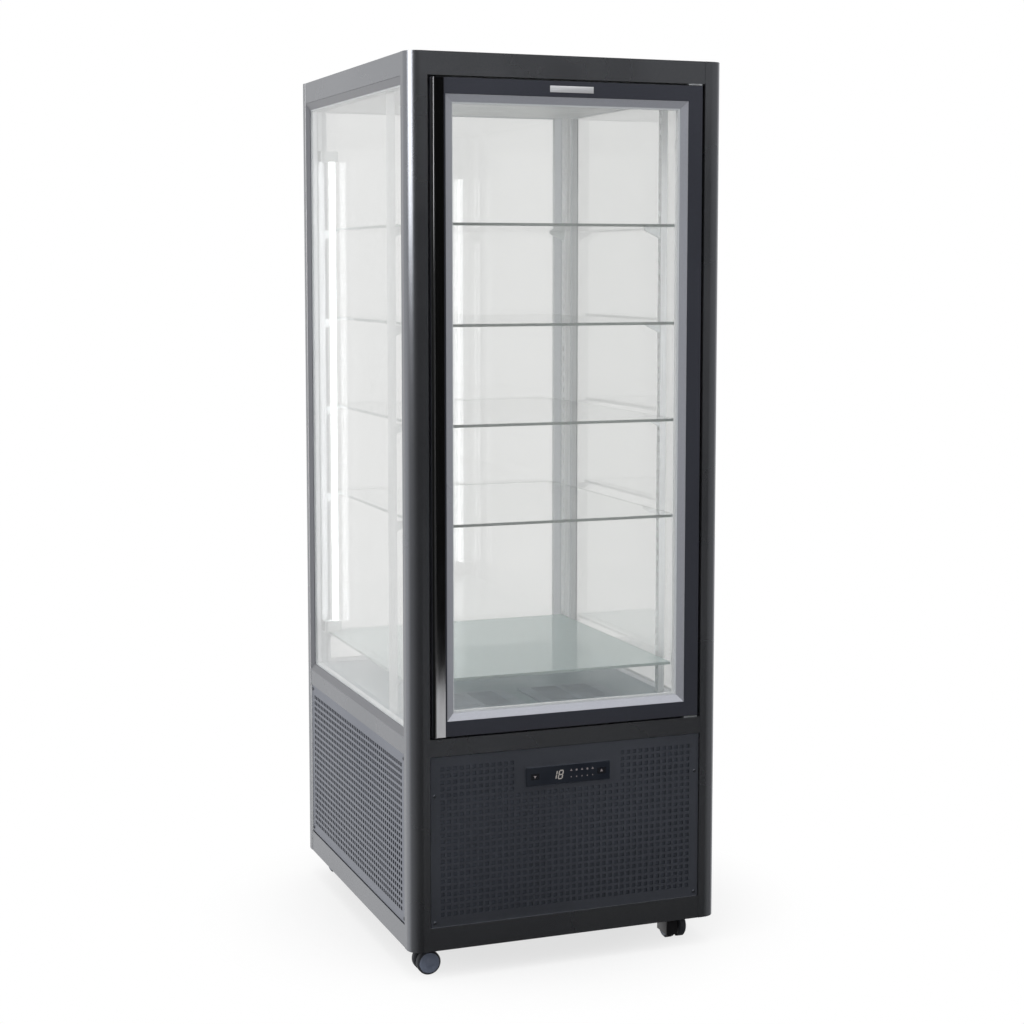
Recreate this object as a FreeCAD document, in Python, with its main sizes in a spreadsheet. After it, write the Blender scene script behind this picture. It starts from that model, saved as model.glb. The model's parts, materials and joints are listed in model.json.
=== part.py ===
import FreeCAD, Part
import Sketcher
import math
import os
import re

# Glass door freezer: a tower with glass on four sides, standing on casters.
# X runs to the right as seen from the front, Y to the rear and Z up, in millimetres.
# The origin is on the floor, in the middle of the footprint.

SIZES = {
    # Overall
    "width": 684,
    "depth": 810,
    "height": 1860,
    "ground_clearance": 60,
    "proud": 8,
    "running_clearance": 0.05,
    # Corner posts and the rails between them
    "post_size": 42,
    "post_radius": 28,
    "post_wall": 3,
    "rail_recess": 1,
    "side_rail_depth": 23,
    "rail_wall": 2,
    "lower_rail_height": 47,
    "base_panel_height": 354,
    "mid_rail_height": 35,
    "top_rail_height": 46,
    "lip_height": 14,
    "lip_thickness": 2,
    "base_plate_thickness": 4,
    "roof_recess": 2,
    "roof_sheet": 3,
    "roof_wall": 10,
    "ceiling_thickness": 17,
    # Perforated panels of the base
    "panel_recess": 2,
    "panel_thickness": 2,
    "panel_gap": 1.5,
    "hole_pitch": 13.65,
    "hole_size": 8.2,
    "hole_margin": 20,
    # Rear cover
    "hood_margin": 14,
    "hood_height": 200,
    "hood_wall": 2,
    "louvre_pitch": 18,
    "louvre_height": 6,
    "louvre_length": 220,
    "louvre_count": 9,
    "louvre_spread": 130,
    # Insulating glass
    "pane_thickness": 4,
    "spacer_depth": 12,
    "spacer_width": 18,
    "bead_width": 15,
    "bead_proud": 8,
    "bead_edge": 2,
    "glass_gap": 0.5,
    # Door
    "door_recess": 1,
    "door_thickness": 33,
    "door_gap": 6,
    "door_clearance": 4,
    "door_member": 31,
    "door_bead_recess": 1,
    "gasket_width": 15,
    "gasket_inset": 13,
    "gasket_gap": 0.3,
    "jamb_width": 44,
    "jamb_depth": 20,
    "handle_inset": 3,
    "handle_width": 24,
    "handle_base": 2,
    "handle_lip": 4,
    "handle_ridge": 3,
    "handle_ridge_height": 4,
    # Door hinges
    "pivot_from_edge": 16,
    "pivot_from_front": 11,
    "hinge_plate": 3,
    "hinge_plate_length": 30,
    "hinge_plate_depth": 22,
    "hinge_pin_radius": 4,
    "hinge_pin_length": 18,
    # Cold well under the cabin floor
    "tub_wall": 25,
    "tub_floor": 25,
    "tub_depth": 196,
    "deck_thickness": 10,
    "grille_width": 190,
    "grille_depth": 150,
    "grille_thickness": 3,
    "grille_overlap": 8,
    "grille_offset": 112,
    "grille_setback": 272,
    "grille_margin": 12,
    "grille_slot": 60,
    "grille_slot_pitch": 72,
    "grille_bar_pitch": 11,
    "grille_bar_gap": 5,
    # Shelves and their uprights
    "shelf_thickness": 6,
    "shelf_width": 544,
    "shelf_front_gap": 10,
    "shelf_rear_gap": 18,
    "top_shelf_height": 1530,
    "shelf_spacing": 203.5,
    "bottom_shelf_height": 588,
    "bottom_shelf_width": 590,
    "bottom_shelf_setback": 68,
    "upright_width": 16,
    "upright_depth": 14,
    "upright_wall": 1.5,
    "upright_gap": 2,
    "front_upright_setback": 213,
    "rear_upright_inset": 22,
    "slot_pitch": 25,
    "slot_width": 5,
    "slot_height": 13,
    "slot_start": 30,
    "slot_count": 50,
    "clip_overlap": 12,
    "clip_height": 22,
    "clip_tip": 4,
    "clip_thickness": 6,
    # Lights
    "lamp_radius": 7,
    "lamp_length": 1064,
    "lamp_bottom": 616,
    "lamp_inset": 29,
    "rear_lamp_inset": 51,
    "front_lamp_setback": 18,
    "holder_size": 22,
    "holder_length": 24,
    # Controller
    "controller_width": 185,
    "controller_height": 38,
    "controller_level": 401,
    "bezel_thickness": 4,
    "controller_body_inset": 5,
    "controller_body_depth": 34,
    "controller_clear": 20,
    "cutout_gap": 0.5,
    "key_width": 18,
    "key_height": 12,
    "key_thickness": 2,
    "key_offset": 74,
    "key_gap": 0.3,
    "key_travel": 0.8,
    "key_stop_gap": 0.1,
    # Casters
    "caster_inset_x": 68,
    "caster_inset_y": 55,
    "caster_plate_size": 64,
    "caster_plate_thickness": 4,
    "kingpin_radius": 6,
    "kingpin_head_radius": 9,
    "kingpin_head_height": 2,
    "swivel_gap": 0.3,
    "yoke_disc_radius": 20,
    "yoke_disc_thickness": 4,
    "yoke_web": 8,
    "yoke_head_gap": 1,
    "yoke_foot": 8,
    "caster_trail": 18,
    "axle_radius": 4,
    "wheel_radius": 25,
    "wheel_width": 17,
    "wheel_gap": 1,
    "tread_chamfer": 3,
    # Compressor
    "compressor_radius": 78,
    "compressor_height": 176,
    "compressor_shoulder": 45,
    "compressor_neck": 40,
    "compressor_x": 150,
    "compressor_y": 120,
    "compressor_foot": 200,
    "compressor_foot_thickness": 6,
    # Heat exchangers
    "condenser_width": 300,
    "condenser_depth": 60,
    "condenser_height": 216,
    "condenser_x": -150,
    "condenser_setback": 50,
    "evaporator_width": 420,
    "evaporator_depth": 250,
    "evaporator_height": 70,
    "evaporator_y": 150,
    "end_plate": 4,
    "header_radius": 8,
    "header_length": 30,
    # Fans
    "cool_fan_size": 216,
    "cool_fan_depth": 40,
    "cool_fan_radius": 96,
    "cold_fan_size": 140,
    "cold_fan_depth": 32,
    "cold_fan_radius": 58,
    "cool_blade_chord": 40,
    "cold_blade_chord": 24,
    "fan_tip_gap": 3,
    "fan_spoke": 14,
    "fan_spoke_depth": 4,
    "motor_radius": 24,
    "motor_depth": 10,
    "shaft_radius": 4,
    "hub_radius": 27,
    "hub_gap": 1,
    "blade_thickness": 2.5,
    "blade_count": 5,
    "blade_pitch": 30,
    "blade_root": 2,
    # Mains connection
    "terminal_width": 140,
    "terminal_height": 90,
    "terminal_x": -130,
    "terminal_bottom": 336,
    "terminal_gap": 3,
    "gland_radius": 11,
    "gland_length": 14,
    "gland_gap": 0.5,
}

# Places and lengths that follow from the sizes above
DERIVED = {
    "half_width": "width / 2",
    "half_depth": "depth / 2",
    "post_inner_x": "half_width - post_size",
    "post_inner_y": "half_depth - post_size",
    "lower_top": "ground_clearance + lower_rail_height",
    "mid_bottom": "lower_top + base_panel_height",
    "mid_top": "mid_bottom + mid_rail_height",
    "top_bottom": "height - top_rail_height",
    "rail_outer_x": "half_width - rail_recess",
    "rail_outer_y": "half_depth - rail_recess",
    "rail_inner_x": "rail_outer_x - side_rail_depth",
    "panel_outer_x": "rail_outer_x - panel_recess",
    "panel_outer_y": "rail_outer_y - panel_recess",
    "panel_inner_x": "panel_outer_x - panel_thickness",
    "panel_inner_y": "panel_outer_y - panel_thickness",
    "unit_thickness": "2 * pane_thickness + spacer_depth",
    "glass_outer_x": "rail_outer_x - bead_proud",
    "glass_inner_x": "glass_outer_x - unit_thickness",
    "glass_outer_y": "rail_outer_y - bead_proud",
    "glass_inner_y": "glass_outer_y - unit_thickness",
    "glass_height": "top_bottom - mid_top - glass_gap",
    "cabin_half": "glass_inner_x - glass_gap",
    "door_front": "half_depth - door_recess",
    "door_back": "door_front - door_thickness",
    "door_half": "post_inner_x - door_gap",
    "door_bottom": "mid_top + door_clearance",
    "door_height": "top_bottom - door_clearance - door_bottom",
    "door_opening_half": "door_half - door_member",
    "door_opening_bottom": "door_bottom + door_member",
    "door_opening_height": "door_height - 2 * door_member",
    "door_glass_front": "door_front - door_bead_recess - bead_proud",
    "pivot_x": "door_half - pivot_from_edge",
    "pivot_y": "pivot_from_front - door_front",
    "jamb_front": "post_inner_y",
    "jamb_back": "jamb_front - jamb_depth",
    "gasket_depth": "door_back - jamb_front - gasket_gap",
    "deck_top": "mid_top + deck_thickness",
    "ceiling": "top_bottom - ceiling_thickness",
    "tub_bottom": "mid_top - tub_depth",
    "base_top": "ground_clearance + base_plate_thickness",
    "shelf_front": "shelf_front_gap - jamb_back",
    "shelf_rear": "glass_inner_y - shelf_rear_gap",
    "upright_face": "cabin_half - upright_gap - upright_depth",
    "caster_x": "half_width - caster_inset_x",
    "caster_y": "half_depth - caster_inset_y",
    "yoke_top": "ground_clearance - caster_plate_thickness - swivel_gap",
    "yoke_disc_bottom": "yoke_top - yoke_disc_thickness",
    "wheel_inner": "yoke_web / 2 + wheel_gap",
    "wheel_outer": "wheel_inner + wheel_width",
    "lamp_x": "glass_inner_x - lamp_inset",
    "rear_lamp_y": "glass_inner_y - rear_lamp_inset",
    "front_lamp_y": "front_lamp_setback - jamb_back",
    "grille_y": "grille_setback - half_depth",
    "condenser_y": "condenser_setback - half_depth",
}

# Each side of the cabinet: the axis it faces, the sign of its outward direction
# and the turn about Z that carries the front to it
SIDES = {
    "front": ("y", -1, 0),
    "right": ("x", 1, 90),
    "rear": ("y", 1, 180),
    "left": ("x", -1, 270),
}

SHELF_COUNT = 5
TOLERANCE = 1e-6

# Each caster: its corner of the cabinet and the turn that points its trail
CASTERS = {
    "front_left": (-1, -1, 180),
    "front_right": (1, -1, 90),
    "rear_left": (-1, 1, 90),
    "rear_right": (1, 1, 90),
}

doc = FreeCAD.newDocument("glass_door_freezer")
dims = doc.addObject("Spreadsheet::Sheet", "Dims")
for row, (alias, number) in enumerate(SIZES.items(), start=1):
    dims.set(f"A{row}", alias)
    dims.set(f"B{row}", str(number))
    dims.setAlias(f"B{row}", alias)
doc.recompute()

nodes = {}


def bound(text):
    """Write an expression's named values as references to the sheet's cells."""

    def swap(match):
        word = match.group()
        if word in DERIVED:
            return f"({bound(DERIVED[word])})"
        return f"Dims.{word}" if word in SIZES else word

    return re.sub(r"[a-z][a-z_0-9]*", swap, str(text))


def value(text):
    """Work out an expression's present value."""
    result = dims.evalExpression(bound(text))
    return float(getattr(result, "Value", result))


def bind(item, **expressions):
    """Tie an object's properties to expressions."""
    for name, text in expressions.items():
        item.setExpression(name, bound(text))


def place(item, x, y, z, turn=None):
    """Put an object's origin at a place that follows the sheet, with a fixed turn."""
    item.Placement = FreeCAD.Placement(FreeCAD.Vector(), turn or FreeCAD.Rotation())
    for axis, text in zip("xyz", (x, y, z)):
        item.setExpression(f"Placement.Base.{axis}", bound(text))
    return item


def turned(axis, angle):
    """Give a turn about one of the main axes, in degrees."""
    direction = {"x": (1, 0, 0), "y": (0, 1, 0), "z": (0, 0, 1)}[axis]
    return FreeCAD.Rotation(FreeCAD.Vector(*direction), angle)


def minus(text):
    """Write an expression with the opposite sign."""
    return f"-({text})"


def signed(sign, text):
    """Write an expression for the given side of the middle."""
    return text if sign > 0 else minus(text)


def node(name, item):
    """Name an object as one of the freezer's pieces."""
    item.Label = name
    nodes[name] = item
    return item


def box(name, size, corner):
    """Make a box from its three sizes and its lowest corner."""
    item = doc.addObject("Part::Box", name)
    bind(item, Length=size[0], Width=size[1], Height=size[2])
    return place(item, *corner)


def block(name, size, middle, bottom):
    """Make a box from its sizes, the middle of its plan and its lowest level."""
    corner = [f"({at}) - ({length}) / 2" for at, length in zip(middle, size)]
    return box(name, size, (*corner, bottom))


def slab(name, side, near, far, half_length, bottom, tall):
    """Make an upright slab on one side, between two distances from the middle."""
    axis, sign, _ = SIDES[side]
    start = near if sign > 0 else minus(far)
    thick = f"({far}) - ({near})"
    along = f"2 * ({half_length})"
    if axis == "y":
        return box(name, (along, thick, tall), (minus(half_length), start, bottom))
    return box(name, (thick, along, tall), (start, minus(half_length), bottom))


def cylinder(name, radius, length, at, turn=None):
    """Make a cylinder that rises from a point along its own turned axis."""
    item = doc.addObject("Part::Cylinder", name)
    bind(item, Radius=radius, Height=length)
    return place(item, *at, turn)


def fuse(name, *shapes):
    """Join shapes into one solid."""
    item = doc.addObject("Part::MultiFuse", name)
    item.Shapes = list(shapes)
    item.Refine = True
    return item


def cut(name, base, *tools):
    """Take one or more shapes away from another."""
    item = doc.addObject("Part::Cut", name)
    item.Base = base
    item.Tool = tools[0] if len(tools) == 1 else group(f"{name}_tools", *tools)
    return item


def group(name, *members):
    """Keep separate solids together as one piece's node."""
    item = doc.addObject("Part::Compound", name)
    item.Links = list(members)
    return item


def wedge(name, length, strip, thick, end_start, end_stop, end_thick):
    """Make a tapered bar: its long edge on X, its width on Y and its thickness on Z."""
    item = doc.addObject("Part::Wedge", name)
    bind(item, Xmin="0", Xmax=length, Ymin="0", Ymax=strip, Zmin="0", Zmax=thick)
    bind(item, X2min=end_start, X2max=end_stop, Z2min="0", Z2max=end_thick)
    return item


def mitred_frame(name, side, distance, half_length, bottom, tall, strip, outer, inner):
    """Make four mitred bars round a face of the cabinet, from a back plane outwards.

    The bars are as thick as outer along their outside edge and as inner inside.
    """
    axis, sign, angle = SIDES[side]
    top = f"({bottom}) + ({tall})"
    corners = (
        (minus(half_length), bottom),
        (half_length, bottom),
        (half_length, top),
        (minus(half_length), top),
    )
    bars = []
    for quarter, (along, level) in enumerate(corners):
        length = tall if quarter % 2 else f"2 * ({half_length})"
        bar = wedge(f"{name}_{quarter}", length, strip, outer, strip, f"({length}) - ({strip})", inner)
        turn = turned("z", angle) * turned("x", 90) * turned("z", 90 * quarter)
        out = signed(sign, distance)
        if axis == "y":
            place(bar, along if sign < 0 else minus(along), out, level, turn)
        else:
            place(bar, out, along if sign > 0 else minus(along), level, turn)
        bars.append(bar)
    return bars


def sketch_on(body, name, role="XY_Plane"):
    """Start a sketch on one of a body's own main planes."""
    sketch = body.newObject("Sketcher::SketchObject", name)
    plane = next(item for item in body.Origin.OriginFeatures if item.Role == role)
    sketch.AttachmentSupport = [(plane, "")]
    sketch.MapMode = "FlatFace"
    return sketch


def tie(sketch, kind, *place_and_text):
    """Add a sized constraint to a sketch and bind it to the sheet."""
    *where, text = place_and_text
    index = sketch.addConstraint(Sketcher.Constraint(kind, *where, value(text)))
    sketch.setExpression(f"Constraints[{index}]", bound(text))


def pin_down(sketch, index, end, point):
    """Tie one end of a sketch's line or arc to a place given as two expressions."""
    for kind, axis, text in zip(("DistanceX", "DistanceY"), (-2, -1), point):
        if text == "0":
            sketch.addConstraint(Sketcher.Constraint("PointOnObject", index, end, axis))
        else:
            tie(sketch, kind, -1, 1, index, end, text)


def outline(sketch, points):
    """Draw a closed outline through points that are pairs of expressions."""
    spots = [FreeCAD.Vector(value(x), value(y), 0) for x, y in points]
    count = len(points)
    for index in range(count):
        sketch.addGeometry(Part.LineSegment(spots[index], spots[(index + 1) % count]))
    for index in range(count):
        sketch.addConstraint(Sketcher.Constraint("Coincident", index, 2, (index + 1) % count, 1))
    for index, point in enumerate(points):
        pin_down(sketch, index, 1, point)


def rounded_square(sketch, near, far, centre):
    """Draw a square whose corner by the origin is an arc about a point on its diagonal."""
    points = ((centre, near), (far, near), (far, far), (near, far), (near, centre))
    spots = [FreeCAD.Vector(value(x), value(y), 0) for x, y in points]
    for begin, end in zip(spots, spots[1:]):
        sketch.addGeometry(Part.LineSegment(begin, end))
    middle = FreeCAD.Vector(value(centre), value(centre), 0)
    circle = Part.Circle(middle, FreeCAD.Vector(0, 0, 1), value(f"{centre} - ({near})"))
    sides = len(points)
    sketch.addGeometry(Part.ArcOfCircle(circle, math.pi, 1.5 * math.pi))
    for index in range(sides):
        sketch.addConstraint(Sketcher.Constraint("Coincident", index, 2, (index + 1) % sides, 1))
    for index, point in enumerate(points):
        pin_down(sketch, index, 1, point)
    tie(sketch, "DistanceX", -1, 1, sides - 1, 3, centre)


def ring(sketch, *radii):
    """Draw circles about the sketch's origin."""
    middle = FreeCAD.Vector(0, 0, 0)
    for index, text in enumerate(radii):
        sketch.addGeometry(Part.Circle(middle, FreeCAD.Vector(0, 0, 1), value(text)))
        sketch.addConstraint(Sketcher.Constraint("Coincident", index, 3, -1, 1))
        tie(sketch, "Radius", index, text)


def pad(body, sketch, length):
    """Raise a sketch into a solid."""
    feature = body.newObject("PartDesign::Pad", f"{body.Name}_pad")
    feature.Profile = sketch
    bind(feature, Length=length)
    return feature


def hollow_cut(body, sketch, feature, length):
    """Cut a sketch into a body, forwards from the sketch's plane."""
    doc.recompute()
    before = feature.Shape.Volume
    item = body.newObject("PartDesign::Pocket", f"{body.Name}_hollow")
    item.Profile = sketch
    item.Reversed = True
    bind(item, Length=length)
    doc.recompute()
    if item.Shape.Volume >= before:
        raise ValueError(f"the hollow of {body.Name} cuts nothing")
    return item


def lies_on(face, axis, levels):
    """Tell whether a flat face lies square to an axis at one of the levels."""
    bounds = face.BoundBox
    low = (bounds.XMin, bounds.YMin, bounds.ZMin)[axis]
    high = (bounds.XMax, bounds.YMax, bounds.ZMax)[axis]
    return high - low < TOLERANCE and any(abs(low - level) < TOLERANCE for level in levels)


def perforated(name, blank, hole, pitch, margin, bare=None, window=None):
    """Make a sheet like the blank, with a centred grid of rectangular holes.

    The sheet is made in bands of one row each, sewn together. Holes inside the bare area
    are left out, and the window is one larger opening. Both are rectangles (left, bottom,
    right, top) in the sheet's own plane.
    """
    doc.recompute()
    bounds = blank.Shape.BoundBox
    low = (bounds.XMin, bounds.YMin, bounds.ZMin)
    spans = (bounds.XLength, bounds.YLength, bounds.ZLength)
    thin = spans.index(min(spans))
    across, up = [axis for axis in range(3) if axis != thin]

    def rectangle(left, bottom, right, top, backwards):
        corners = [(left, bottom), (right, bottom), (right, top), (left, top)]
        if backwards:
            corners.reverse()
        points = []
        for u, v in corners + corners[:1]:
            point = list(low)
            point[across] = u
            point[up] = v
            points.append(FreeCAD.Vector(*point))
        return Part.makePolygon(points)

    def row(axis, size, step):
        count = int((spans[axis] - 2 * margin - size) // step) + 1
        first = low[axis] + spans[axis] / 2 - (count - 1) * step / 2
        return [first + index * step for index in range(count)]

    right = low[across] + spans[across]
    columns = row(across, hole[0], pitch[0])
    levels = row(up, hole[1], pitch[1])
    between = [(below + above) / 2 for below, above in zip(levels, levels[1:])]
    seams = [level for level in between if not (window and window[1] < level < window[3])]
    edges = [low[up], *seams, low[up] + spans[up]]
    travel = [0, 0, 0]
    travel[thin] = spans[thin]
    faces = []
    for bottom, top in zip(edges, edges[1:]):
        wires = [rectangle(low[across], bottom, right, top, False)]
        if window and bottom < window[1] < top:
            wires.append(rectangle(*window, True))
        for v in levels:
            for u in columns:
                spare = bare and bare[0] < u < bare[2] and bare[1] < v < bare[3]
                if bottom < v < top and not spare:
                    half_u = hole[0] / 2
                    half_v = hole[1] / 2
                    wires.append(rectangle(u - half_u, v - half_v, u + half_u, v + half_v, True))
        band = Part.Face(wires).extrude(FreeCAD.Vector(*travel))
        faces += [face for face in band.Faces if not lies_on(face, up, seams)]
    sheet = Part.makeCompound(faces)
    sheet.sewShape()
    item = doc.addObject("Part::Feature", name)
    item.Shape = Part.Solid(sheet)
    return item


def corner_post(name, x_side, y_side, angle):
    """Hollow post, closed at its top, with one large rounded corner outside."""
    body = doc.addObject("PartDesign::Body", name)
    outer = sketch_on(body, f"{name}_outer")
    rounded_square(outer, "0", "post_size", "post_radius")
    solid = pad(body, outer, "height - ground_clearance")
    inner = sketch_on(body, f"{name}_inner")
    rounded_square(inner, "post_wall", "post_size - post_wall", "post_radius")
    body.Tip = hollow_cut(body, inner, solid, "height - ground_clearance - post_wall")
    x = signed(x_side, "half_width")
    y = signed(y_side, "half_depth")
    place(body, x, y, "ground_clearance", turned("z", angle))
    node(name, body)


def rail_ring(name, bottom, tall, lip):
    """Four box-section rails between the posts, with an optional lip for the panels."""
    rails = []
    for side, (axis, _, _) in SIDES.items():
        near = "post_inner_y" if axis == "y" else "rail_inner_x"
        half = "post_inner_x" if axis == "y" else "post_inner_y"
        far = f"rail_outer_{axis}"
        bar = slab(f"{name}_{side}_bar", side, near, far, half, bottom, tall)
        core = slab(
            f"{name}_{side}_core",
            side,
            f"{near} + rail_wall",
            f"{far} - rail_wall",
            half,
            f"{bottom} + rail_wall",
            f"{tall} - 2 * rail_wall",
        )
        rail = cut(f"{name}_{side}", bar, core)
        if lip:
            behind = f"panel_inner_{axis} - lip_thickness"
            level = f"({bottom}) + ({tall})" if lip > 0 else f"({bottom}) - lip_height"
            edge = slab(
                f"{name}_{side}_lip", side, behind, f"panel_inner_{axis}", half, level, "lip_height"
            )
            rail = fuse(f"{name}_{side}_angle", rail, edge)
        rails.append(rail)
    node(name, group(name, *rails))


def cabin_plate(name, bottom, thick):
    """Plate that fills the cabin's plan behind the jamb and steps in between the rear posts."""
    wide = ("2 * cabin_half", "post_inner_y + jamb_back", thick)
    main = box(f"{name}_main", wide, (minus("cabin_half"), minus("jamb_back"), bottom))
    half = "post_inner_x - glass_gap"
    rear = slab(f"{name}_rear", "rear", "post_inner_y", "glass_inner_y - glass_gap", half, bottom, thick)
    return fuse(name, main, rear)


def build_frame():
    """Posts, rails, base plate, roof and ceiling."""
    corner_post("post_front_left", -1, -1, 0)
    corner_post("post_front_right", 1, -1, 90)
    corner_post("post_rear_right", 1, 1, 180)
    corner_post("post_rear_left", -1, 1, 270)
    rail_ring("lower_frame", "ground_clearance", "lower_rail_height", 1)
    rail_ring("mid_frame", "mid_bottom", "mid_rail_height", -1)
    rail_ring("top_frame", "top_bottom", "top_rail_height", 0)
    plan = ("2 * rail_inner_x", "2 * post_inner_y")
    plate = (*plan, "base_plate_thickness")
    node("base_plate", block("base_plate", plate, ("0", "0"), "ground_clearance"))
    roof_height = "top_rail_height - roof_recess"
    roof = block("roof_blank", (*plan, roof_height), ("0", "0"), "top_bottom")
    room = [f"{length} - 2 * roof_wall" for length in plan]
    hollow = block("roof_hollow", (*room, f"{roof_height} - roof_sheet"), ("0", "0"), "top_bottom")
    node("roof_panel", cut("roof_panel", roof, hollow))
    node("ceiling_liner", cabin_plate("ceiling_liner", "ceiling", "ceiling_thickness"))


def base_sheet(name, side):
    """Plain sheet that fills the base between the posts on one side."""
    axis = SIDES[side][0]
    half = "post_inner_x - panel_gap" if axis == "y" else "post_inner_y - panel_gap"
    bottom = "lower_top + panel_gap"
    tall = "base_panel_height - 2 * panel_gap"
    return slab(name, side, f"panel_inner_{axis}", f"panel_outer_{axis}", half, bottom, tall)


def build_panels():
    """Perforated front and side panels and the rear cover."""
    hole = (value("hole_size"), value("hole_size"))
    pitch = (value("hole_pitch"), value("hole_pitch"))
    margin = value("hole_margin")
    half = value("controller_width / 2 - controller_body_inset + cutout_gap")
    rise = value("controller_height / 2 - controller_body_inset + cutout_gap")
    level = value("controller_level")
    clear_half = value("controller_width / 2 + controller_clear")
    clear_low = value("controller_level - controller_height / 2 - controller_clear / 2")
    bare = (-clear_half, clear_low, clear_half, value("mid_bottom"))
    window = (-half, level - rise, half, level + rise)
    front = base_sheet("front_panel_blank", "front")
    node("front_panel", perforated("front_panel", front, hole, pitch, margin, bare, window))
    for side in ("left", "right"):
        blank = base_sheet(f"{side}_panel_blank", side)
        node(f"{side}_panel", perforated(f"{side}_panel", blank, hole, pitch, margin))

    plate = base_sheet("rear_cover_plate", "rear")
    hood_bottom = "lower_top + hood_margin"
    hood_half = "post_inner_x - hood_margin"
    hood = slab("hood", "rear", "panel_outer_y", "half_depth + proud", hood_half, hood_bottom, "hood_height")
    hollow = slab(
        "hood_hollow",
        "rear",
        "panel_inner_y",
        "half_depth + proud - hood_wall",
        f"{hood_half} - hood_wall",
        f"{hood_bottom} + hood_wall",
        "hood_height - 2 * hood_wall",
    )
    slots = []
    first = f"{hood_bottom} + hood_height / 2 - (louvre_count - 1) * louvre_pitch / 2"
    for sign in (-1, 1):
        for index in range(int(value("louvre_count"))):
            size = ("louvre_length", "2 * (proud + panel_recess + rail_recess)", "louvre_height")
            middle = (signed(sign, "louvre_spread"), "half_depth + proud")
            bottom = f"{first} + {index} * louvre_pitch - louvre_height / 2"
            slots.append(block(f"louvre_{len(slots)}", size, middle, bottom))
    inlet = cylinder(
        "gland_hole",
        "gland_radius + gland_gap",
        "2 * panel_recess + panel_thickness",
        ("terminal_x", "panel_outer_y + panel_recess", "terminal_bottom + terminal_height / 2"),
        turned("x", 90),
    )
    cover = fuse("rear_cover_shell", plate, hood)
    node("rear_cover", cut("rear_cover", cover, hollow, inlet, *slots))


def glass_unit(name, side, outer, half_length, bottom, tall):
    """Two panes of one insulating unit and the four bars of its spacer."""
    inner = f"{outer} - unit_thickness"
    panes = (
        slab(f"{name}_outer", side, f"{outer} - pane_thickness", outer, half_length, bottom, tall),
        slab(f"{name}_inner", side, inner, f"{inner} + pane_thickness", half_length, bottom, tall),
    )
    node(name, group(name, *panes))
    return mitred_frame(
        f"{name}_spacer",
        side,
        f"{inner} + pane_thickness",
        half_length,
        bottom,
        tall,
        "spacer_width",
        "spacer_depth",
        "spacer_depth",
    )


def build_glazing():
    """Fixed glass on the two sides and the rear, with its spacers and beads."""
    spacers = []
    beads = []
    for side in ("left", "right", "rear"):
        axis = SIDES[side][0]
        half = "post_inner_y - glass_gap" if axis == "x" else "post_inner_x - glass_gap"
        outer = f"glass_outer_{axis}"
        spacers += glass_unit(f"{side}_glass", side, outer, half, "mid_top", "glass_height")
        beads += mitred_frame(
            f"{side}_bead", side, outer, half, "mid_top", "glass_height",
            "bead_width", "bead_proud", "bead_edge",
        )
    node("glass_spacers", group("glass_spacers", *spacers))
    node("glazing_beads", group("glazing_beads", *beads))


def hinge(name, plate_bottom, pin_bottom, pin_length):
    """Pivot hinge: a plate on the rail with a pin that runs in the door's end."""
    size = ("hinge_plate_length", "hinge_plate_depth", "hinge_plate")
    plate = block(f"{name}_plate", size, ("pivot_x", "pivot_y"), plate_bottom)
    pin = cylinder(f"{name}_pin", "hinge_pin_radius", pin_length, ("pivot_x", "pivot_y", pin_bottom))
    return fuse(name, plate, pin)


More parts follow.
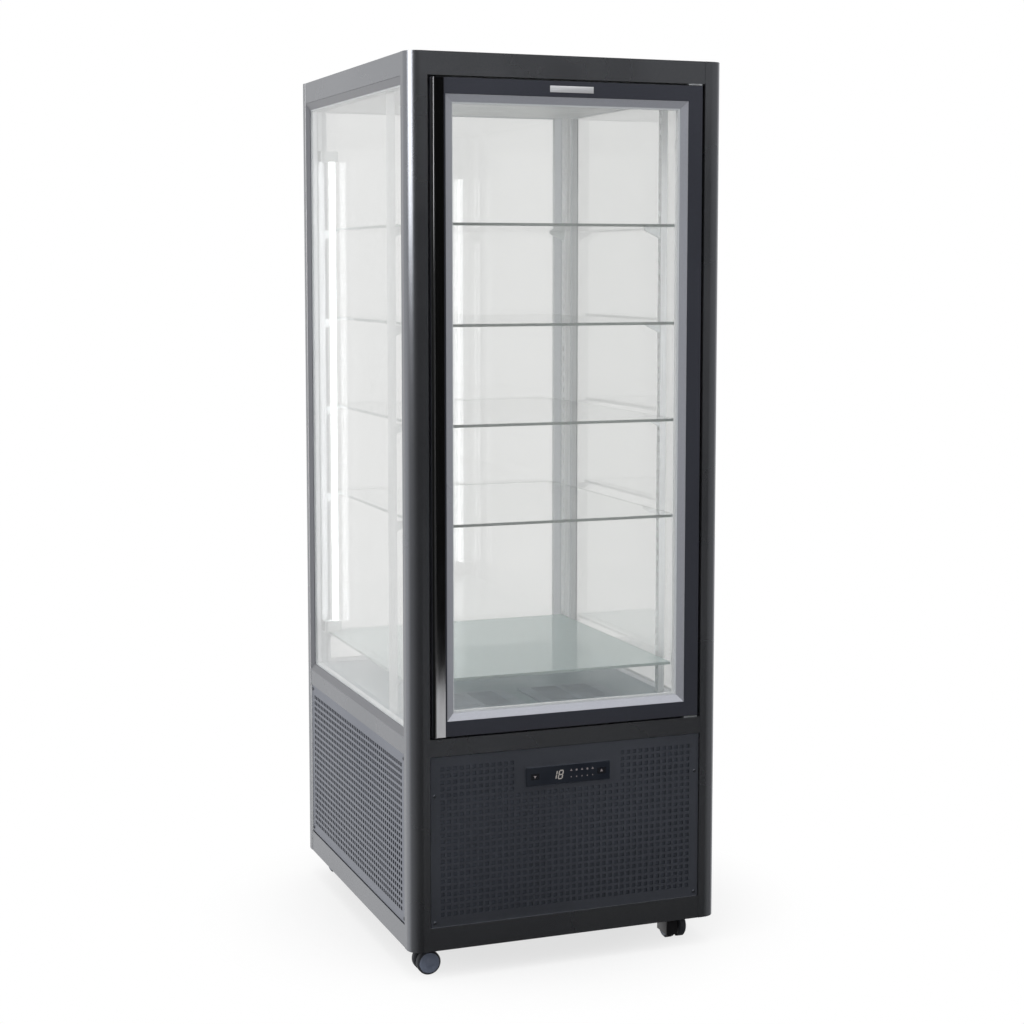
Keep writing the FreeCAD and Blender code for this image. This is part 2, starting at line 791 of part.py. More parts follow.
def build_door():
    """Door frame, glass, bead, gasket, handle, hinges and the jamb that it closes on."""
    door_top = "door_bottom + door_height"

    def member(name, wide, tall, x, bottom):
        return box(name, (wide, "door_thickness", tall), (x, minus("door_front"), bottom))

    stile = ("door_member", "door_height")
    blank = member("hinge_stile_blank", *stile, "door_opening_half", "door_bottom")
    crossbar = ("2 * door_opening_half", "door_member", minus("door_opening_half"))
    lower = member("door_lower_rail", *crossbar, "door_bottom")
    upper = member("door_upper_rail", *crossbar, f"{door_top} - door_member")

    reach = "hinge_pin_length - door_clearance"
    bores = []
    for name, bottom in (("lower_bore", "door_bottom"), ("upper_bore", f"{door_top} - ({reach})")):
        radius = "hinge_pin_radius + running_clearance"
        bores.append(cylinder(name, radius, reach, ("pivot_x", "pivot_y", bottom)))
    hinge_stile = cut("hinge_stile", blank, *bores)
    handle_stile = member("handle_stile", *stile, minus("door_half"), "door_bottom")
    node("door_frame", group("door_frame", handle_stile, hinge_stile, lower, upper))

    pin_reach = "hinge_pin_length - running_clearance"
    low_hinge = hinge("lower_hinge", "mid_top", "mid_top", pin_reach)
    high_hinge = hinge("upper_hinge", "top_bottom - hinge_plate", f"top_bottom - ({pin_reach})", pin_reach)
    node("door_hinges", group("door_hinges", low_hinge, high_hinge))

    half = "door_opening_half - glass_gap"
    bottom = "door_opening_bottom"
    tall = "door_opening_height - glass_gap"
    spacer = glass_unit("door_glass", "front", "door_glass_front", half, bottom, tall)
    node("door_spacer", group("door_spacer", *spacer))
    bead = mitred_frame(
        "door_bead_bar", "front", "door_glass_front", half, bottom, tall,
        "bead_width", "bead_proud", "bead_edge",
    )
    node("door_beads", group("door_beads", *bead))
    gasket = mitred_frame(
        "gasket_bar",
        "front",
        "jamb_front + gasket_gap",
        "door_half - gasket_inset",
        "door_bottom + gasket_inset",
        "door_height - 2 * gasket_inset",
        "gasket_width",
        "gasket_depth",
        "gasket_depth",
    )
    node("door_gasket", group("door_gasket", *gasket))
    jamb = mitred_frame(
        "jamb_bar", "front", "jamb_back", "cabin_half", "mid_top", "top_bottom - mid_top",
        "jamb_width", "jamb_depth", "jamb_depth",
    )
    node("door_jamb", group("door_jamb", *jamb))

    body = doc.addObject("PartDesign::Body", "door_handle")
    profile = sketch_on(body, "door_handle_profile")
    lip = "proud + door_recess"
    ridge = "handle_ridge_height"
    outline(
        profile,
        (
            ("0", "0"),
            ("handle_width", "0"),
            ("handle_width", ridge),
            ("handle_width - handle_ridge", ridge),
            ("handle_width - handle_ridge", "handle_base"),
            ("handle_lip", "handle_base"),
            ("handle_lip", lip),
            ("0", lip),
        ),
    )
    pad(body, profile, "door_height")
    across = "door_half - handle_inset"
    flip = turned("x", 180)
    place(body, minus(across), minus("door_front"), door_top, flip)
    node("door_handle", body)


def slotted_upright(name, y):
    """U-shaped upright on the right side, with a row of slots for the shelf clips."""
    body = doc.addObject("PartDesign::Body", name)
    profile = sketch_on(body, f"{name}_profile")
    wall = "upright_wall"
    far = "upright_width - upright_wall"
    outline(
        profile,
        (
            ("0", "0"),
            ("upright_depth", "0"),
            ("upright_depth", wall),
            (wall, wall),
            (wall, far),
            ("upright_depth", far),
            ("upright_depth", "upright_width"),
            ("0", "upright_width"),
        ),
    )
    channel = pad(body, profile, "ceiling - deck_top")
    slot = sketch_on(body, f"{name}_slot", "YZ_Plane")
    left = "(upright_width - slot_width) / 2"
    right = "(upright_width + slot_width) / 2"
    top = "slot_start + slot_height"
    outline(slot, ((left, "slot_start"), (right, "slot_start"), (right, top), (left, top)))
    pocket = hollow_cut(body, slot, channel, "2 * upright_wall")
    pattern = body.newObject("PartDesign::LinearPattern", f"{name}_slots")
    pattern.Originals = [pocket]
    pattern.Direction = (slot, ["V_Axis"])
    bind(pattern, Length="slot_pitch * (slot_count - 1)", Occurrences="slot_count")
    body.Tip = pattern
    return place(body, "upright_face", f"{y} - upright_width / 2", "deck_top")


def mirrored(name, source):
    """Make the left-hand copy of a piece on the right."""
    item = doc.addObject("Part::Mirroring", name)
    item.Source = source
    item.Normal = FreeCAD.Vector(1, 0, 0)
    return item


def build_shelves():
    """Uprights, glass shelves and the clips that carry them."""
    places = {
        "front": "front_upright_setback - half_depth",
        "rear": "glass_inner_y - rear_upright_inset",
    }
    uprights = []
    for end, y in places.items():
        upright = slotted_upright(f"{end}_upright", y)
        uprights += [upright, mirrored(f"{end}_upright_left", upright)]
    node("shelf_uprights", group("shelf_uprights", *uprights))

    clips = []
    for number in range(1, SHELF_COUNT + 1):
        lowest = number == SHELF_COUNT
        top = "bottom_shelf_height" if lowest else f"top_shelf_height - {number - 1} * shelf_spacing"
        front = "shelf_front + bottom_shelf_setback" if lowest else "shelf_front"
        width = "bottom_shelf_width" if lowest else "shelf_width"
        reach = f"upright_face - {width} / 2 + clip_overlap"
        underside = f"{top} - shelf_thickness"
        size = (width, f"shelf_rear - ({front})", "shelf_thickness")
        node(f"shelf_{number}", box(f"shelf_{number}", size, (f"-{width} / 2", front, underside)))
        for end, y in places.items():
            name = f"clip_{number}_{end}"
            clip = wedge(name, "clip_height", reach, "clip_thickness", "0", "clip_tip", "clip_thickness")
            turn = turned("y", 90) * turned("x", -90)
            place(clip, "upright_face", f"{y} - clip_thickness / 2", underside, turn)
            clips += [clip, mirrored(f"{name}_left", clip)]
    node("shelf_clips", group("shelf_clips", *clips))


def build_lights():
    """Light tubes in the rear left and front right corners, with their end holders."""
    tubes = []
    holders = []
    size = ("lamp_inset + holder_size / 2", "holder_size", "holder_length")
    for end, sign, y in (("rear", -1, "rear_lamp_y"), ("front", 1, "front_lamp_y")):
        x = signed(sign, "lamp_x")
        tubes.append(cylinder(f"{end}_tube", "lamp_radius", "lamp_length", (x, y, "lamp_bottom")))
        corner = "-glass_inner_x" if sign < 0 else "lamp_x - holder_size / 2"
        for level in ("lamp_bottom - holder_length", "lamp_bottom + lamp_length"):
            place_at = (corner, f"{y} - holder_size / 2", level)
            holders.append(box(f"{end}_holder_{len(holders)}", size, place_at))
    node("light_tubes", group("light_tubes", *tubes))
    node("light_holders", group("light_holders", *holders))


def fan_housing(name, size, depth, radius):
    """Square fan frame with a spoke, a motor and the shaft that the rotor turns on."""
    frame = block(f"{name}_frame", (size, size, depth), ("0", "0"), "0")
    bore = cylinder(f"{name}_bore", f"{radius} + fan_tip_gap", depth, ("0", "0", "0"))
    spoke = block(f"{name}_spoke", (size, "fan_spoke", "fan_spoke_depth"), ("0", "0"), "0")
    motor = cylinder(f"{name}_motor", "motor_radius", "fan_spoke_depth + motor_depth", ("0", "0", "0"))
    shaft = cylinder(f"{name}_shaft", "shaft_radius", depth, ("0", "0", "0"))
    return fuse(name, cut(f"{name}_ring", frame, bore), spoke, motor, shaft)


def fan_rotor(name, depth, radius, chord):
    """Fan wheel: a hub with pitched blades round it."""
    hub_height = f"({depth} - fan_spoke_depth - motor_depth - 2 * hub_gap)"
    body = doc.addObject("PartDesign::Body", name)
    hub = sketch_on(body, f"{name}_hub")
    ring(hub, "hub_radius", "shaft_radius + running_clearance")
    pad(body, hub, hub_height)
    blade = sketch_on(body, f"{name}_blade", "YZ_Plane")
    pitch = FreeCAD.Rotation(FreeCAD.Vector(0, 0, 1), value("blade_pitch"))
    blade.AttachmentOffset = FreeCAD.Placement(FreeCAD.Vector(), pitch)
    blade.setExpression("AttachmentOffset.Base.y", bound(f"{hub_height} / 2"))
    blade.setExpression("AttachmentOffset.Base.z", bound("hub_radius - blade_root"))
    half = f"{chord} / 2"
    thick = "blade_thickness / 2"
    outline(blade, ((minus(half), minus(thick)), (half, minus(thick)), (half, thick), (minus(half), thick)))
    vane = pad(body, blade, f"{radius} - hub_radius + blade_root")
    doc.recompute()
    pattern = body.newObject("PartDesign::PolarPattern", f"{name}_blades")
    pattern.Originals = [vane]
    axle = next(item for item in body.Origin.OriginFeatures if item.Role == "Z_Axis")
    pattern.Axis = (axle, [""])
    pattern.Angle = 360
    bind(pattern, Occurrences="blade_count")
    body.Tip = pattern
    return node(name, body)


def heat_exchanger(name, wide, deep, tall, middle, bottom):
    """Finned block between two end plates, with two pipe ends."""
    core = (f"{wide} - 2 * end_plate", f"{deep} - 2 * end_plate", f"{tall} - end_plate")
    pieces = [block(f"{name}_fins", core, middle, bottom)]
    for sign in (-1, 1):
        x = f"{middle[0]} + {sign} * ({wide} - end_plate) / 2"
        plate = ("end_plate", deep, tall)
        pieces.append(block(f"{name}_plate_{sign + 1}", plate, (x, middle[1]), bottom))
    for sign in (-1, 1):
        y = f"{middle[1]} + {sign} * {deep} / 4"
        at = (f"{middle[0]} + {wide} / 2 - end_plate", y, f"{bottom} + {tall} / 2")
        length = "header_length + end_plate"
        pieces.append(cylinder(f"{name}_pipe_{sign + 1}", "header_radius", length, at, turned("y", 90)))
    return node(name, fuse(name, *pieces))


def build_cold_well():
    """Insulated tub under the cabin with evaporator, fans, deck and air grilles."""
    outer = ("2 * rail_inner_x", "2 * post_inner_y", "tub_depth")
    inner = ("2 * (rail_inner_x - tub_wall)", "2 * (post_inner_y - tub_wall)", "tub_depth")
    shell = block("tub_shell", outer, ("0", "0"), "tub_bottom")
    well = block("tub_well", inner, ("0", "0"), "tub_bottom + tub_floor")
    node("insulated_tub", cut("insulated_tub", shell, well))
    coil_at = ("0", "evaporator_y")
    coil = ("evaporator_width", "evaporator_depth", "evaporator_height")
    heat_exchanger("evaporator", *coil, coil_at, "tub_bottom + tub_floor")

    plate = cabin_plate("deck_blank", "mid_top", "deck_thickness")
    openings = []
    grilles = []
    housings = []
    fan_base = "mid_top - cold_fan_depth"
    slot = (value("grille_slot"), value("grille_bar_gap"))
    pitch = (value("grille_slot_pitch"), value("grille_bar_pitch"))
    for side, sign in (("left", -1), ("right", 1)):
        middle = (signed(sign, "grille_offset"), "grille_y")
        hole = ("grille_width - 2 * grille_overlap", "grille_depth - 2 * grille_overlap", "deck_thickness")
        openings.append(block(f"{side}_air_opening", hole, middle, "mid_top"))
        sheet = block(
            f"{side}_grille_blank", ("grille_width", "grille_depth", "grille_thickness"), middle, "deck_top"
        )
        grilles.append(perforated(f"{side}_grille", sheet, slot, pitch, value("grille_margin")))
        housing = fan_housing(f"{side}_cold_fan", "cold_fan_size", "cold_fan_depth", "cold_fan_radius")
        housings.append(place(housing, *middle, fan_base))
        rotor = fan_rotor(
            f"evaporator_fan_{side}", "cold_fan_depth", "cold_fan_radius", "cold_blade_chord"
        )
        place(rotor, *middle, f"{fan_base} + fan_spoke_depth + motor_depth + hub_gap")
    node("deck", cut("deck", plate, *openings))
    node("air_grilles", group("air_grilles", *grilles))
    node("evaporator_fan_mounts", group("evaporator_fan_mounts", *housings))


def build_machine():
    """Compressor, condenser with its fan, and the terminal box with its cable gland."""
    body = doc.addObject("PartDesign::Body", "compressor_shell")
    profile = sketch_on(body, "compressor_profile", "XZ_Plane")
    outline(
        profile,
        (
            ("0", "0"),
            ("compressor_radius", "0"),
            ("compressor_radius", "compressor_height - compressor_shoulder"),
            ("compressor_neck", "compressor_height"),
            ("0", "compressor_height"),
        ),
    )
    turn = body.newObject("PartDesign::Revolution", "compressor_turn")
    turn.Profile = profile
    turn.ReferenceAxis = (profile, ["V_Axis"])
    turn.Angle = 360
    foot_top = "base_top + compressor_foot_thickness"
    place(body, "compressor_x", "compressor_y", foot_top)
    size = ("compressor_foot", "compressor_foot", "compressor_foot_thickness")
    foot = block("compressor_feet", size, ("compressor_x", "compressor_y"), "base_top")
    node("compressor", fuse("compressor", body, foot))

    coil = ("condenser_width", "condenser_depth", "condenser_height")
    heat_exchanger("condenser", *coil, ("condenser_x", "condenser_y + condenser_depth / 2"), "base_top")
    back = "condenser_y + condenser_depth"
    level = "base_top + cool_fan_size / 2"
    along = turned("x", -90)
    housing = fan_housing("condenser_fan_mount", "cool_fan_size", "cool_fan_depth", "cool_fan_radius")
    node("condenser_fan_mount", place(housing, "condenser_x", back, level, along))
    rotor = fan_rotor("condenser_fan", "cool_fan_depth", "cool_fan_radius", "cool_blade_chord")
    place(rotor, "condenser_x", f"{back} + fan_spoke_depth + motor_depth + hub_gap", level, along)

    size = ("terminal_width", "panel_inner_y - terminal_gap - post_inner_y", "terminal_height")
    corner = ("terminal_x - terminal_width / 2", "post_inner_y", "terminal_bottom")
    case = box("terminal_case", size, corner)
    at = ("terminal_x", "panel_inner_y - terminal_gap", "terminal_bottom + terminal_height / 2")
    gland = cylinder("cable_gland", "gland_radius", "gland_length", at, along)
    node("terminal_box", fuse("terminal_box", case, gland))


def build_controller():
    """Controller in the front panel and its two keys."""
    face = "panel_outer_y + bezel_thickness"
    level = "controller_level - controller_height / 2"
    bezel = slab(
        "bezel", "front", "panel_outer_y", face, "controller_width / 2", level, "controller_height"
    )
    rear = slab(
        "controller_rear",
        "front",
        "panel_outer_y - controller_body_depth",
        "panel_outer_y",
        "controller_width / 2 - controller_body_inset",
        f"{level} + controller_body_inset",
        "controller_height - 2 * controller_body_inset",
    )
    pockets = []
    for side, sign in (("left", -1), ("right", 1)):
        x = signed(sign, "key_offset")
        size = ("key_width", "key_thickness", "key_height")
        corner = (f"{x} - key_width / 2", minus(face), "controller_level - key_height / 2")
        node(f"controller_key_{side}", box(f"controller_key_{side}", size, corner))
        room = (
            "key_width + 2 * key_gap",
            "key_thickness + key_travel + key_stop_gap",
            "key_height + 2 * key_gap",
        )
        corner = (f"{corner[0]} - key_gap", corner[1], f"{corner[2]} - key_gap")
        pockets.append(box(f"{side}_key_pocket", room, corner))
    node("controller", cut("controller", fuse("controller_case", bezel, rear), *pockets))


def caster_yoke(name):
    """Swivelling yoke, about its own swivel axis: a disc, a web between the wheels and an axle."""
    disc_at = ("0", "0", "yoke_disc_bottom")
    disc = cylinder(f"{name}_disc", "yoke_disc_radius", "yoke_disc_thickness", disc_at)
    bore = cylinder(f"{name}_bore", "kingpin_radius + running_clearance", "yoke_disc_thickness", disc_at)
    start = "kingpin_head_radius + yoke_head_gap"
    foot = "wheel_radius - yoke_foot"
    size = (f"caster_trail + yoke_foot - ({start})", "yoke_web", f"yoke_disc_bottom - ({foot})")
    web = box(f"{name}_web", size, (start, "-yoke_web / 2", foot))
    axle_at = ("caster_trail", minus("wheel_outer"), "wheel_radius")
    axle = cylinder(f"{name}_axle", "axle_radius", "2 * wheel_outer", axle_at, turned("x", -90))
    return fuse(name, cut(f"{name}_plate", disc, bore), web, axle)


def caster_wheel(name):
    """Wheel about its own axis, with chamfered tread edges and a bore for the axle."""
    body = doc.addObject("PartDesign::Body", name)
    profile = sketch_on(body, f"{name}_profile", "XZ_Plane")
    bore = "axle_radius + running_clearance"
    edge = "wheel_radius - tread_chamfer"
    outline(
        profile,
        (
            (bore, "0"),
            (edge, "0"),
            ("wheel_radius", "tread_chamfer"),
            ("wheel_radius", "wheel_width - tread_chamfer"),
            (edge, "wheel_width"),
            (bore, "wheel_width"),
        ),
    )
    turn = body.newObject("PartDesign::Revolution", f"{name}_turn")
    turn.Profile = profile
    turn.ReferenceAxis = (profile, ["V_Axis"])
    turn.Angle = 360
    return body


def build_casters():
    """Four swivel casters: fixed plates with kingpins, yokes and pairs of wheels."""
    plates = []
    head_top = "yoke_disc_bottom - swivel_gap"
    head_bottom = f"{head_top} - kingpin_head_height"
    plate_bottom = "ground_clearance - caster_plate_thickness"
    for corner, (x_side, y_side, heading) in CASTERS.items():
        x = signed(x_side, "caster_x")
        y = signed(y_side, "caster_y")
        size = ("caster_plate_size", "caster_plate_size", "caster_plate_thickness")
        plate = block(f"{corner}_plate", size, (x, y), plate_bottom)
        pin_length = f"{plate_bottom} - ({head_bottom})"
        pin = cylinder(f"{corner}_kingpin", "kingpin_radius", pin_length, (x, y, head_bottom))
        head = cylinder(f"{corner}_head", "kingpin_head_radius", "kingpin_head_height", (x, y, head_bottom))
        plates.append(fuse(f"{corner}_caster_plate", plate, pin, head))

        swing = turned("z", heading)
        ahead = swing.multVec(FreeCAD.Vector(1, 0, 0))
        run = round(ahead.x)
        rise = round(ahead.y)
        yoke = place(caster_yoke(f"caster_yoke_{corner}"), x, y, "0", swing)
        node(f"caster_yoke_{corner}", yoke)
        pair = []
        for side, inset in (("near", "wheel_inner"), ("far", minus("wheel_outer"))):
            wheel_x = f"{x} + {run} * caster_trail - {rise} * ({inset})"
            wheel_y = f"{y} + {rise} * caster_trail + {run} * ({inset})"
            wheel = caster_wheel(f"{corner}_{side}_wheel")
            pair.append(place(wheel, wheel_x, wheel_y, "wheel_radius", swing * turned("x", -90)))
        node(f"caster_wheel_{corner}", group(f"caster_wheel_{corner}", *pair))
    node("caster_plates", group("caster_plates", *plates))


build_frame()
build_panels()
build_glazing()
build_door()
build_shelves()
build_lights()
build_cold_well()
build_machine()
build_controller()
build_casters()
doc.recompute()

for item in doc.Objects:
    if {"Invalid", "Error"} & set(item.State):
        raise RuntimeError(f"{item.Label} did not compute: {item.State}")
for name, item in nodes.items():
    if item.Shape.isNull() or not item.Shape.isValid() or not item.Shape.Solids:
        raise RuntimeError(f"{name} has no valid solid")

os.makedirs("parts", exist_ok=True)
for name, item in nodes.items():
    item.Shape.exportStep(f"parts/{name}.step")
print(f"{len(nodes)} pieces written")
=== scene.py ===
import json
import logging
import math
from dataclasses import dataclass
from enum import Enum
from functools import cache
from typing import Any, ClassVar, Iterable

import bmesh
import bpy
from mathutils import Matrix, Vector

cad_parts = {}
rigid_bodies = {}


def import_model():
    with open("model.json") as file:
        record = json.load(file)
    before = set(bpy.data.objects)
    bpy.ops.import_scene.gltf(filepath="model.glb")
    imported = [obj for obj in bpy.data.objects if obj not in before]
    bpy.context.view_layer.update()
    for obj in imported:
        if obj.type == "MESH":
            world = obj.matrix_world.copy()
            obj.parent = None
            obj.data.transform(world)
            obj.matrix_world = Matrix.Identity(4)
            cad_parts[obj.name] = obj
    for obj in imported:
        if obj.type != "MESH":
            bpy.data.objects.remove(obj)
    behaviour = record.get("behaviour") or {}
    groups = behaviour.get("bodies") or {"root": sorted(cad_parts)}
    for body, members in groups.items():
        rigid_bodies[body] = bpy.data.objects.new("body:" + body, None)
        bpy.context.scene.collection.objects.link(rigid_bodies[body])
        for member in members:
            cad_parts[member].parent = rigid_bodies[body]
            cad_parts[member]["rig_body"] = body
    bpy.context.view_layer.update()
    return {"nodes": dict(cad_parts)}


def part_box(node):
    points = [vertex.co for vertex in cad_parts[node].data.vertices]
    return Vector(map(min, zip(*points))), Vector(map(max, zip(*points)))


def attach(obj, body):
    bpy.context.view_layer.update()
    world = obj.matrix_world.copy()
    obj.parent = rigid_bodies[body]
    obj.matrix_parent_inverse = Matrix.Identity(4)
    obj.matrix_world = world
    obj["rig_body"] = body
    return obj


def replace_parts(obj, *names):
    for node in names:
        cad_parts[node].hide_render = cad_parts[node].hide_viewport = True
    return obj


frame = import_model()

# Glass door freezer, dressed for its studio picture. Lengths are in metres, in the frame of the solids:
# X to the right as seen from the door, Y to the rear, Z up, the floor at zero.

LOG = logging.getLogger("freezer")

Colour = tuple[float, float, float]
Point = tuple[float, float, float]
Flat = tuple[float, float]
Socket = bpy.types.NodeSocket
Piece = bpy.types.Object

WHITE: Colour = (1.0, 1.0, 1.0)
EVEN: Point = (1.0, 1.0, 1.0)
UP = Vector((0.0, 0.0, 1.0))
CORNERS = tuple(f"{end}_{side}" for end in ("front", "rear") for side in ("left", "right"))
CLOUD_RANGE: Flat = (0.3, 0.7)  # nearly all of a cloudy pattern lies between these
WAVE_FACTOR = 20.0  # the wave texture multiplies its scale by this
SEAM = 1e-6  # corners closer than this become one
SHARP_ANGLE = math.radians(32)  # edges that turn more than this stay sharp


def seen(red: int, green: int, blue: int) -> Colour:
    """Turn a colour as a screen shows it into the light that the shaders use.

    Args:
        red: red level, 0 to 255.
        green: green level, 0 to 255.
        blue: blue level, 0 to 255.

    Returns:
        The same colour as linear shares of light.
    """
    shares = [level / 255 for level in (red, green, blue)]
    light = [s / 12.92 if s <= 0.04045 else ((s + 0.055) / 1.055) ** 2.4 for s in shares]
    return light[0], light[1], light[2]


def shaded(colour: Colour, factor: float) -> Colour:
    """Give a colour made lighter or darker by a factor."""
    return colour[0] * factor, colour[1] * factor, colour[2] * factor


class Body(Enum):
    """Moving groups of the freezer that the added pieces ride on."""

    CABINET = "cabinet"
    DOOR = "door"
    KEY_LEFT = "controller_key_left"
    KEY_RIGHT = "controller_key_right"
    YOKE_FRONT_RIGHT = "caster_yoke_front_right"
    WHEEL_FRONT_LEFT = "caster_wheel_front_left"
    WHEEL_FRONT_RIGHT = "caster_wheel_front_right"
    WHEEL_REAR_LEFT = "caster_wheel_rear_left"
    WHEEL_REAR_RIGHT = "caster_wheel_rear_right"


class Facing(Enum):
    """Side of the cabinet that a screw or a hub cap looks out of."""

    FRONT = (0.0, -1.0, 0.0)
    REAR = (0.0, 1.0, 0.0)
    LEFT = (-1.0, 0.0, 0.0)
    RIGHT = (1.0, 0.0, 0.0)
    TOP = (0.0, 0.0, 1.0)

    def turn(self) -> Matrix:
        """Give the turn that carries a shape that looks up to this side."""
        return UP.rotation_difference(Vector(self.value)).to_matrix().to_4x4()


class Graph:
    """Node tree under construction, with short calls for the nodes that the finishes share."""

    def __init__(self, owner: bpy.types.ID) -> None:
        """Start an empty tree on a material, a lamp or the world."""
        owner.use_nodes = True
        self.tree = owner.node_tree
        self.tree.nodes.clear()

    def node(self, kind: str, sockets: dict[Any, Any] | None = None, **options: Any) -> bpy.types.Node:
        """Add a node and fill its inputs.

        Args:
            kind: the node's type, without the word that all shader nodes start with.
            sockets: numbers, colours or outputs of other nodes, by the input's name or number.
            options: settings of the node itself.

        Returns:
            The new node.
        """
        made = self.tree.nodes.new("ShaderNode" + kind)
        for name, choice in options.items():
            setattr(made, name, choice)
        for name, given in (sockets or {}).items():
            socket = made.inputs[name]
            if isinstance(given, Socket):
                self.tree.links.new(given, socket)
            elif socket.type == "RGBA":
                socket.default_value = (*given, 1.0)
            else:
                socket.default_value = given
        return made

    def place(self, stretch: Point = EVEN) -> Socket:
        """Give the point on the piece, stretched along its axes.

        Args:
            stretch: factor for each axis, so that a grain can run along one.

        Returns:
            The vector output.
        """
        point = self.node("TexCoord").outputs["Object"]
        if stretch == EVEN:
            return point
        return self.node("Mapping", {"Vector": point, "Scale": stretch}).outputs["Vector"]

    def axes(self, vector: Socket) -> list[Socket]:
        """Take a vector apart into its three values."""
        return list(self.node("SeparateXYZ", {"Vector": vector}).outputs)

    def outward(self) -> list[Socket]:
        """Give the three values of the direction that the surface looks in."""
        return self.axes(self.node("TexCoord").outputs["Normal"])

    def noise(self, place: Socket, scale: float, detail: float = 2.0) -> Socket:
        """Give a cloudy pattern with so many blots to the metre and so many octaves of finer ones."""
        sockets = {"Vector": place, "Scale": scale, "Detail": detail}
        return self.node("TexNoise", sockets).outputs["Fac"]

    def span(self, value: Socket, start: float, stop: float, low: float, high: float) -> Socket:
        """Carry a value smoothly from the range of start to stop into the range of low to high."""
        sockets = {"Value": value, "From Min": start, "From Max": stop, "To Min": low, "To Max": high}
        return self.node("MapRange", sockets, interpolation_type="SMOOTHSTEP").outputs["Result"]

    def spread(self, pattern: Socket, low: float = 0.0, high: float = 1.0) -> Socket:
        """Carry a cloudy pattern into another range, low in its hollows and high on its peaks."""
        return self.span(pattern, *CLOUD_RANGE, low, high)

    def mix(self, share: Socket, first: Colour | Socket, second: Colour | Socket) -> Socket:
        """Blend two colours, with this share of the second."""
        return self.node("Mix", {0: share, 6: first, 7: second}, data_type="RGBA").outputs[2]

    def blend(self, share: Socket | float, first: Socket, second: Socket) -> Socket:
        """Blend two shaders, with this share of the second."""
        return self.node("MixShader", {0: share, 1: first, 2: second}).outputs[0]

    def sums(self, operation: str, first: Socket | float, second: Socket | float) -> Socket:
        """Reckon with two values, by the operation's name in the node."""
        return self.node("Math", {0: first, 1: second}, operation=operation).outputs[0]

    def bump(self, height: Socket, strength: float, depth: float = 0.0004) -> Socket:
        """Give normals that follow a height pattern of this strength and depth in metres."""
        sockets = {"Height": height, "Strength": strength, "Distance": depth}
        return self.node("Bump", sockets).outputs["Normal"]

    def surface(self, sockets: dict[str, Any]) -> Socket:
        """Give the main shader with these inputs."""
        return self.node("BsdfPrincipled", sockets).outputs["BSDF"]


@dataclass(frozen=True)
class Finish:
    """Surface finish with a name, which makes its node material once."""

    name: str

    @cache
    def material(self) -> bpy.types.Material:
        """Give the material, made on the first call."""
        made = bpy.data.materials.new(self.name)
        graph = Graph(made)
        graph.node("OutputMaterial", {"Surface": self.shade(graph)})
        return made

    def shade(self, graph: Graph) -> Socket:
        """Build the finish's shader and give its output."""
        raise NotImplementedError


Covers = dict[Finish, tuple[str, ...]]


@dataclass(frozen=True)
class Paint(Finish):
    """Sprayed coat on metal, with fine flakes, faint clouds and a trace of orange peel."""

    colour: Colour
    metallic: float
    roughness: float
    flake: float = 0.18
    flake_scale: float = 1400.0
    cloud_tone: float = 1.12
    cloud_share: float = 0.25
    cloud_scale: float = 3.0
    uneven: float = 0.03
    peel: float = 0.05
    peel_scale: float = 420.0

    def shade(self, graph: Graph) -> Socket:
        """Build the paint's shader and give its output."""
        place = graph.place()
        flakes = graph.spread(graph.noise(place, self.flake_scale))
        clouds = graph.noise(place, self.cloud_scale, detail=4.0)
        tone = graph.mix(flakes, shaded(self.colour, 1 - self.flake), shaded(self.colour, 1 + self.flake))
        tone = graph.mix(graph.spread(clouds, high=self.cloud_share), tone, shaded(self.colour, self.cloud_tone))
        return graph.surface({
            "Base Color": tone,
            "Metallic": self.metallic,
            "Roughness": graph.spread(clouds, self.roughness - self.uneven, self.roughness + self.uneven),
            "Normal": graph.bump(graph.noise(place, self.peel_scale), self.peel),
        })


@dataclass(frozen=True)
class LinedPaint(Paint):
    """Paint of a corner post, whose faces towards the cabin carry a pale lining."""

    lining: Colour = WHITE
    lining_roughness: float = 0.4
    lining_tone: float = 0.96
    lining_scale: float = 60.0
    inner_reach: float = -0.2

    def shade(self, graph: Graph) -> Socket:
        """Build the shader of paint and lining and give its output."""
        place, normal = graph.axes(graph.place()), graph.outward()
        facing = [graph.sums("LESS_THAN", graph.sums("MULTIPLY", place[axis], normal[axis]), self.inner_reach)
                  for axis in (0, 1)]
        behind = graph.sums("MULTIPLY", facing[0], graph.sums("GREATER_THAN", place[1], 0.0))
        inward = graph.sums("MAXIMUM", behind, facing[1])
        grain = graph.noise(graph.place(), self.lining_scale, detail=3.0)
        lining = graph.surface({
            "Base Color": graph.mix(grain, shaded(self.lining, self.lining_tone), self.lining),
            "Roughness": self.lining_roughness,
        })
        return graph.blend(inward, super().shade(graph), lining)


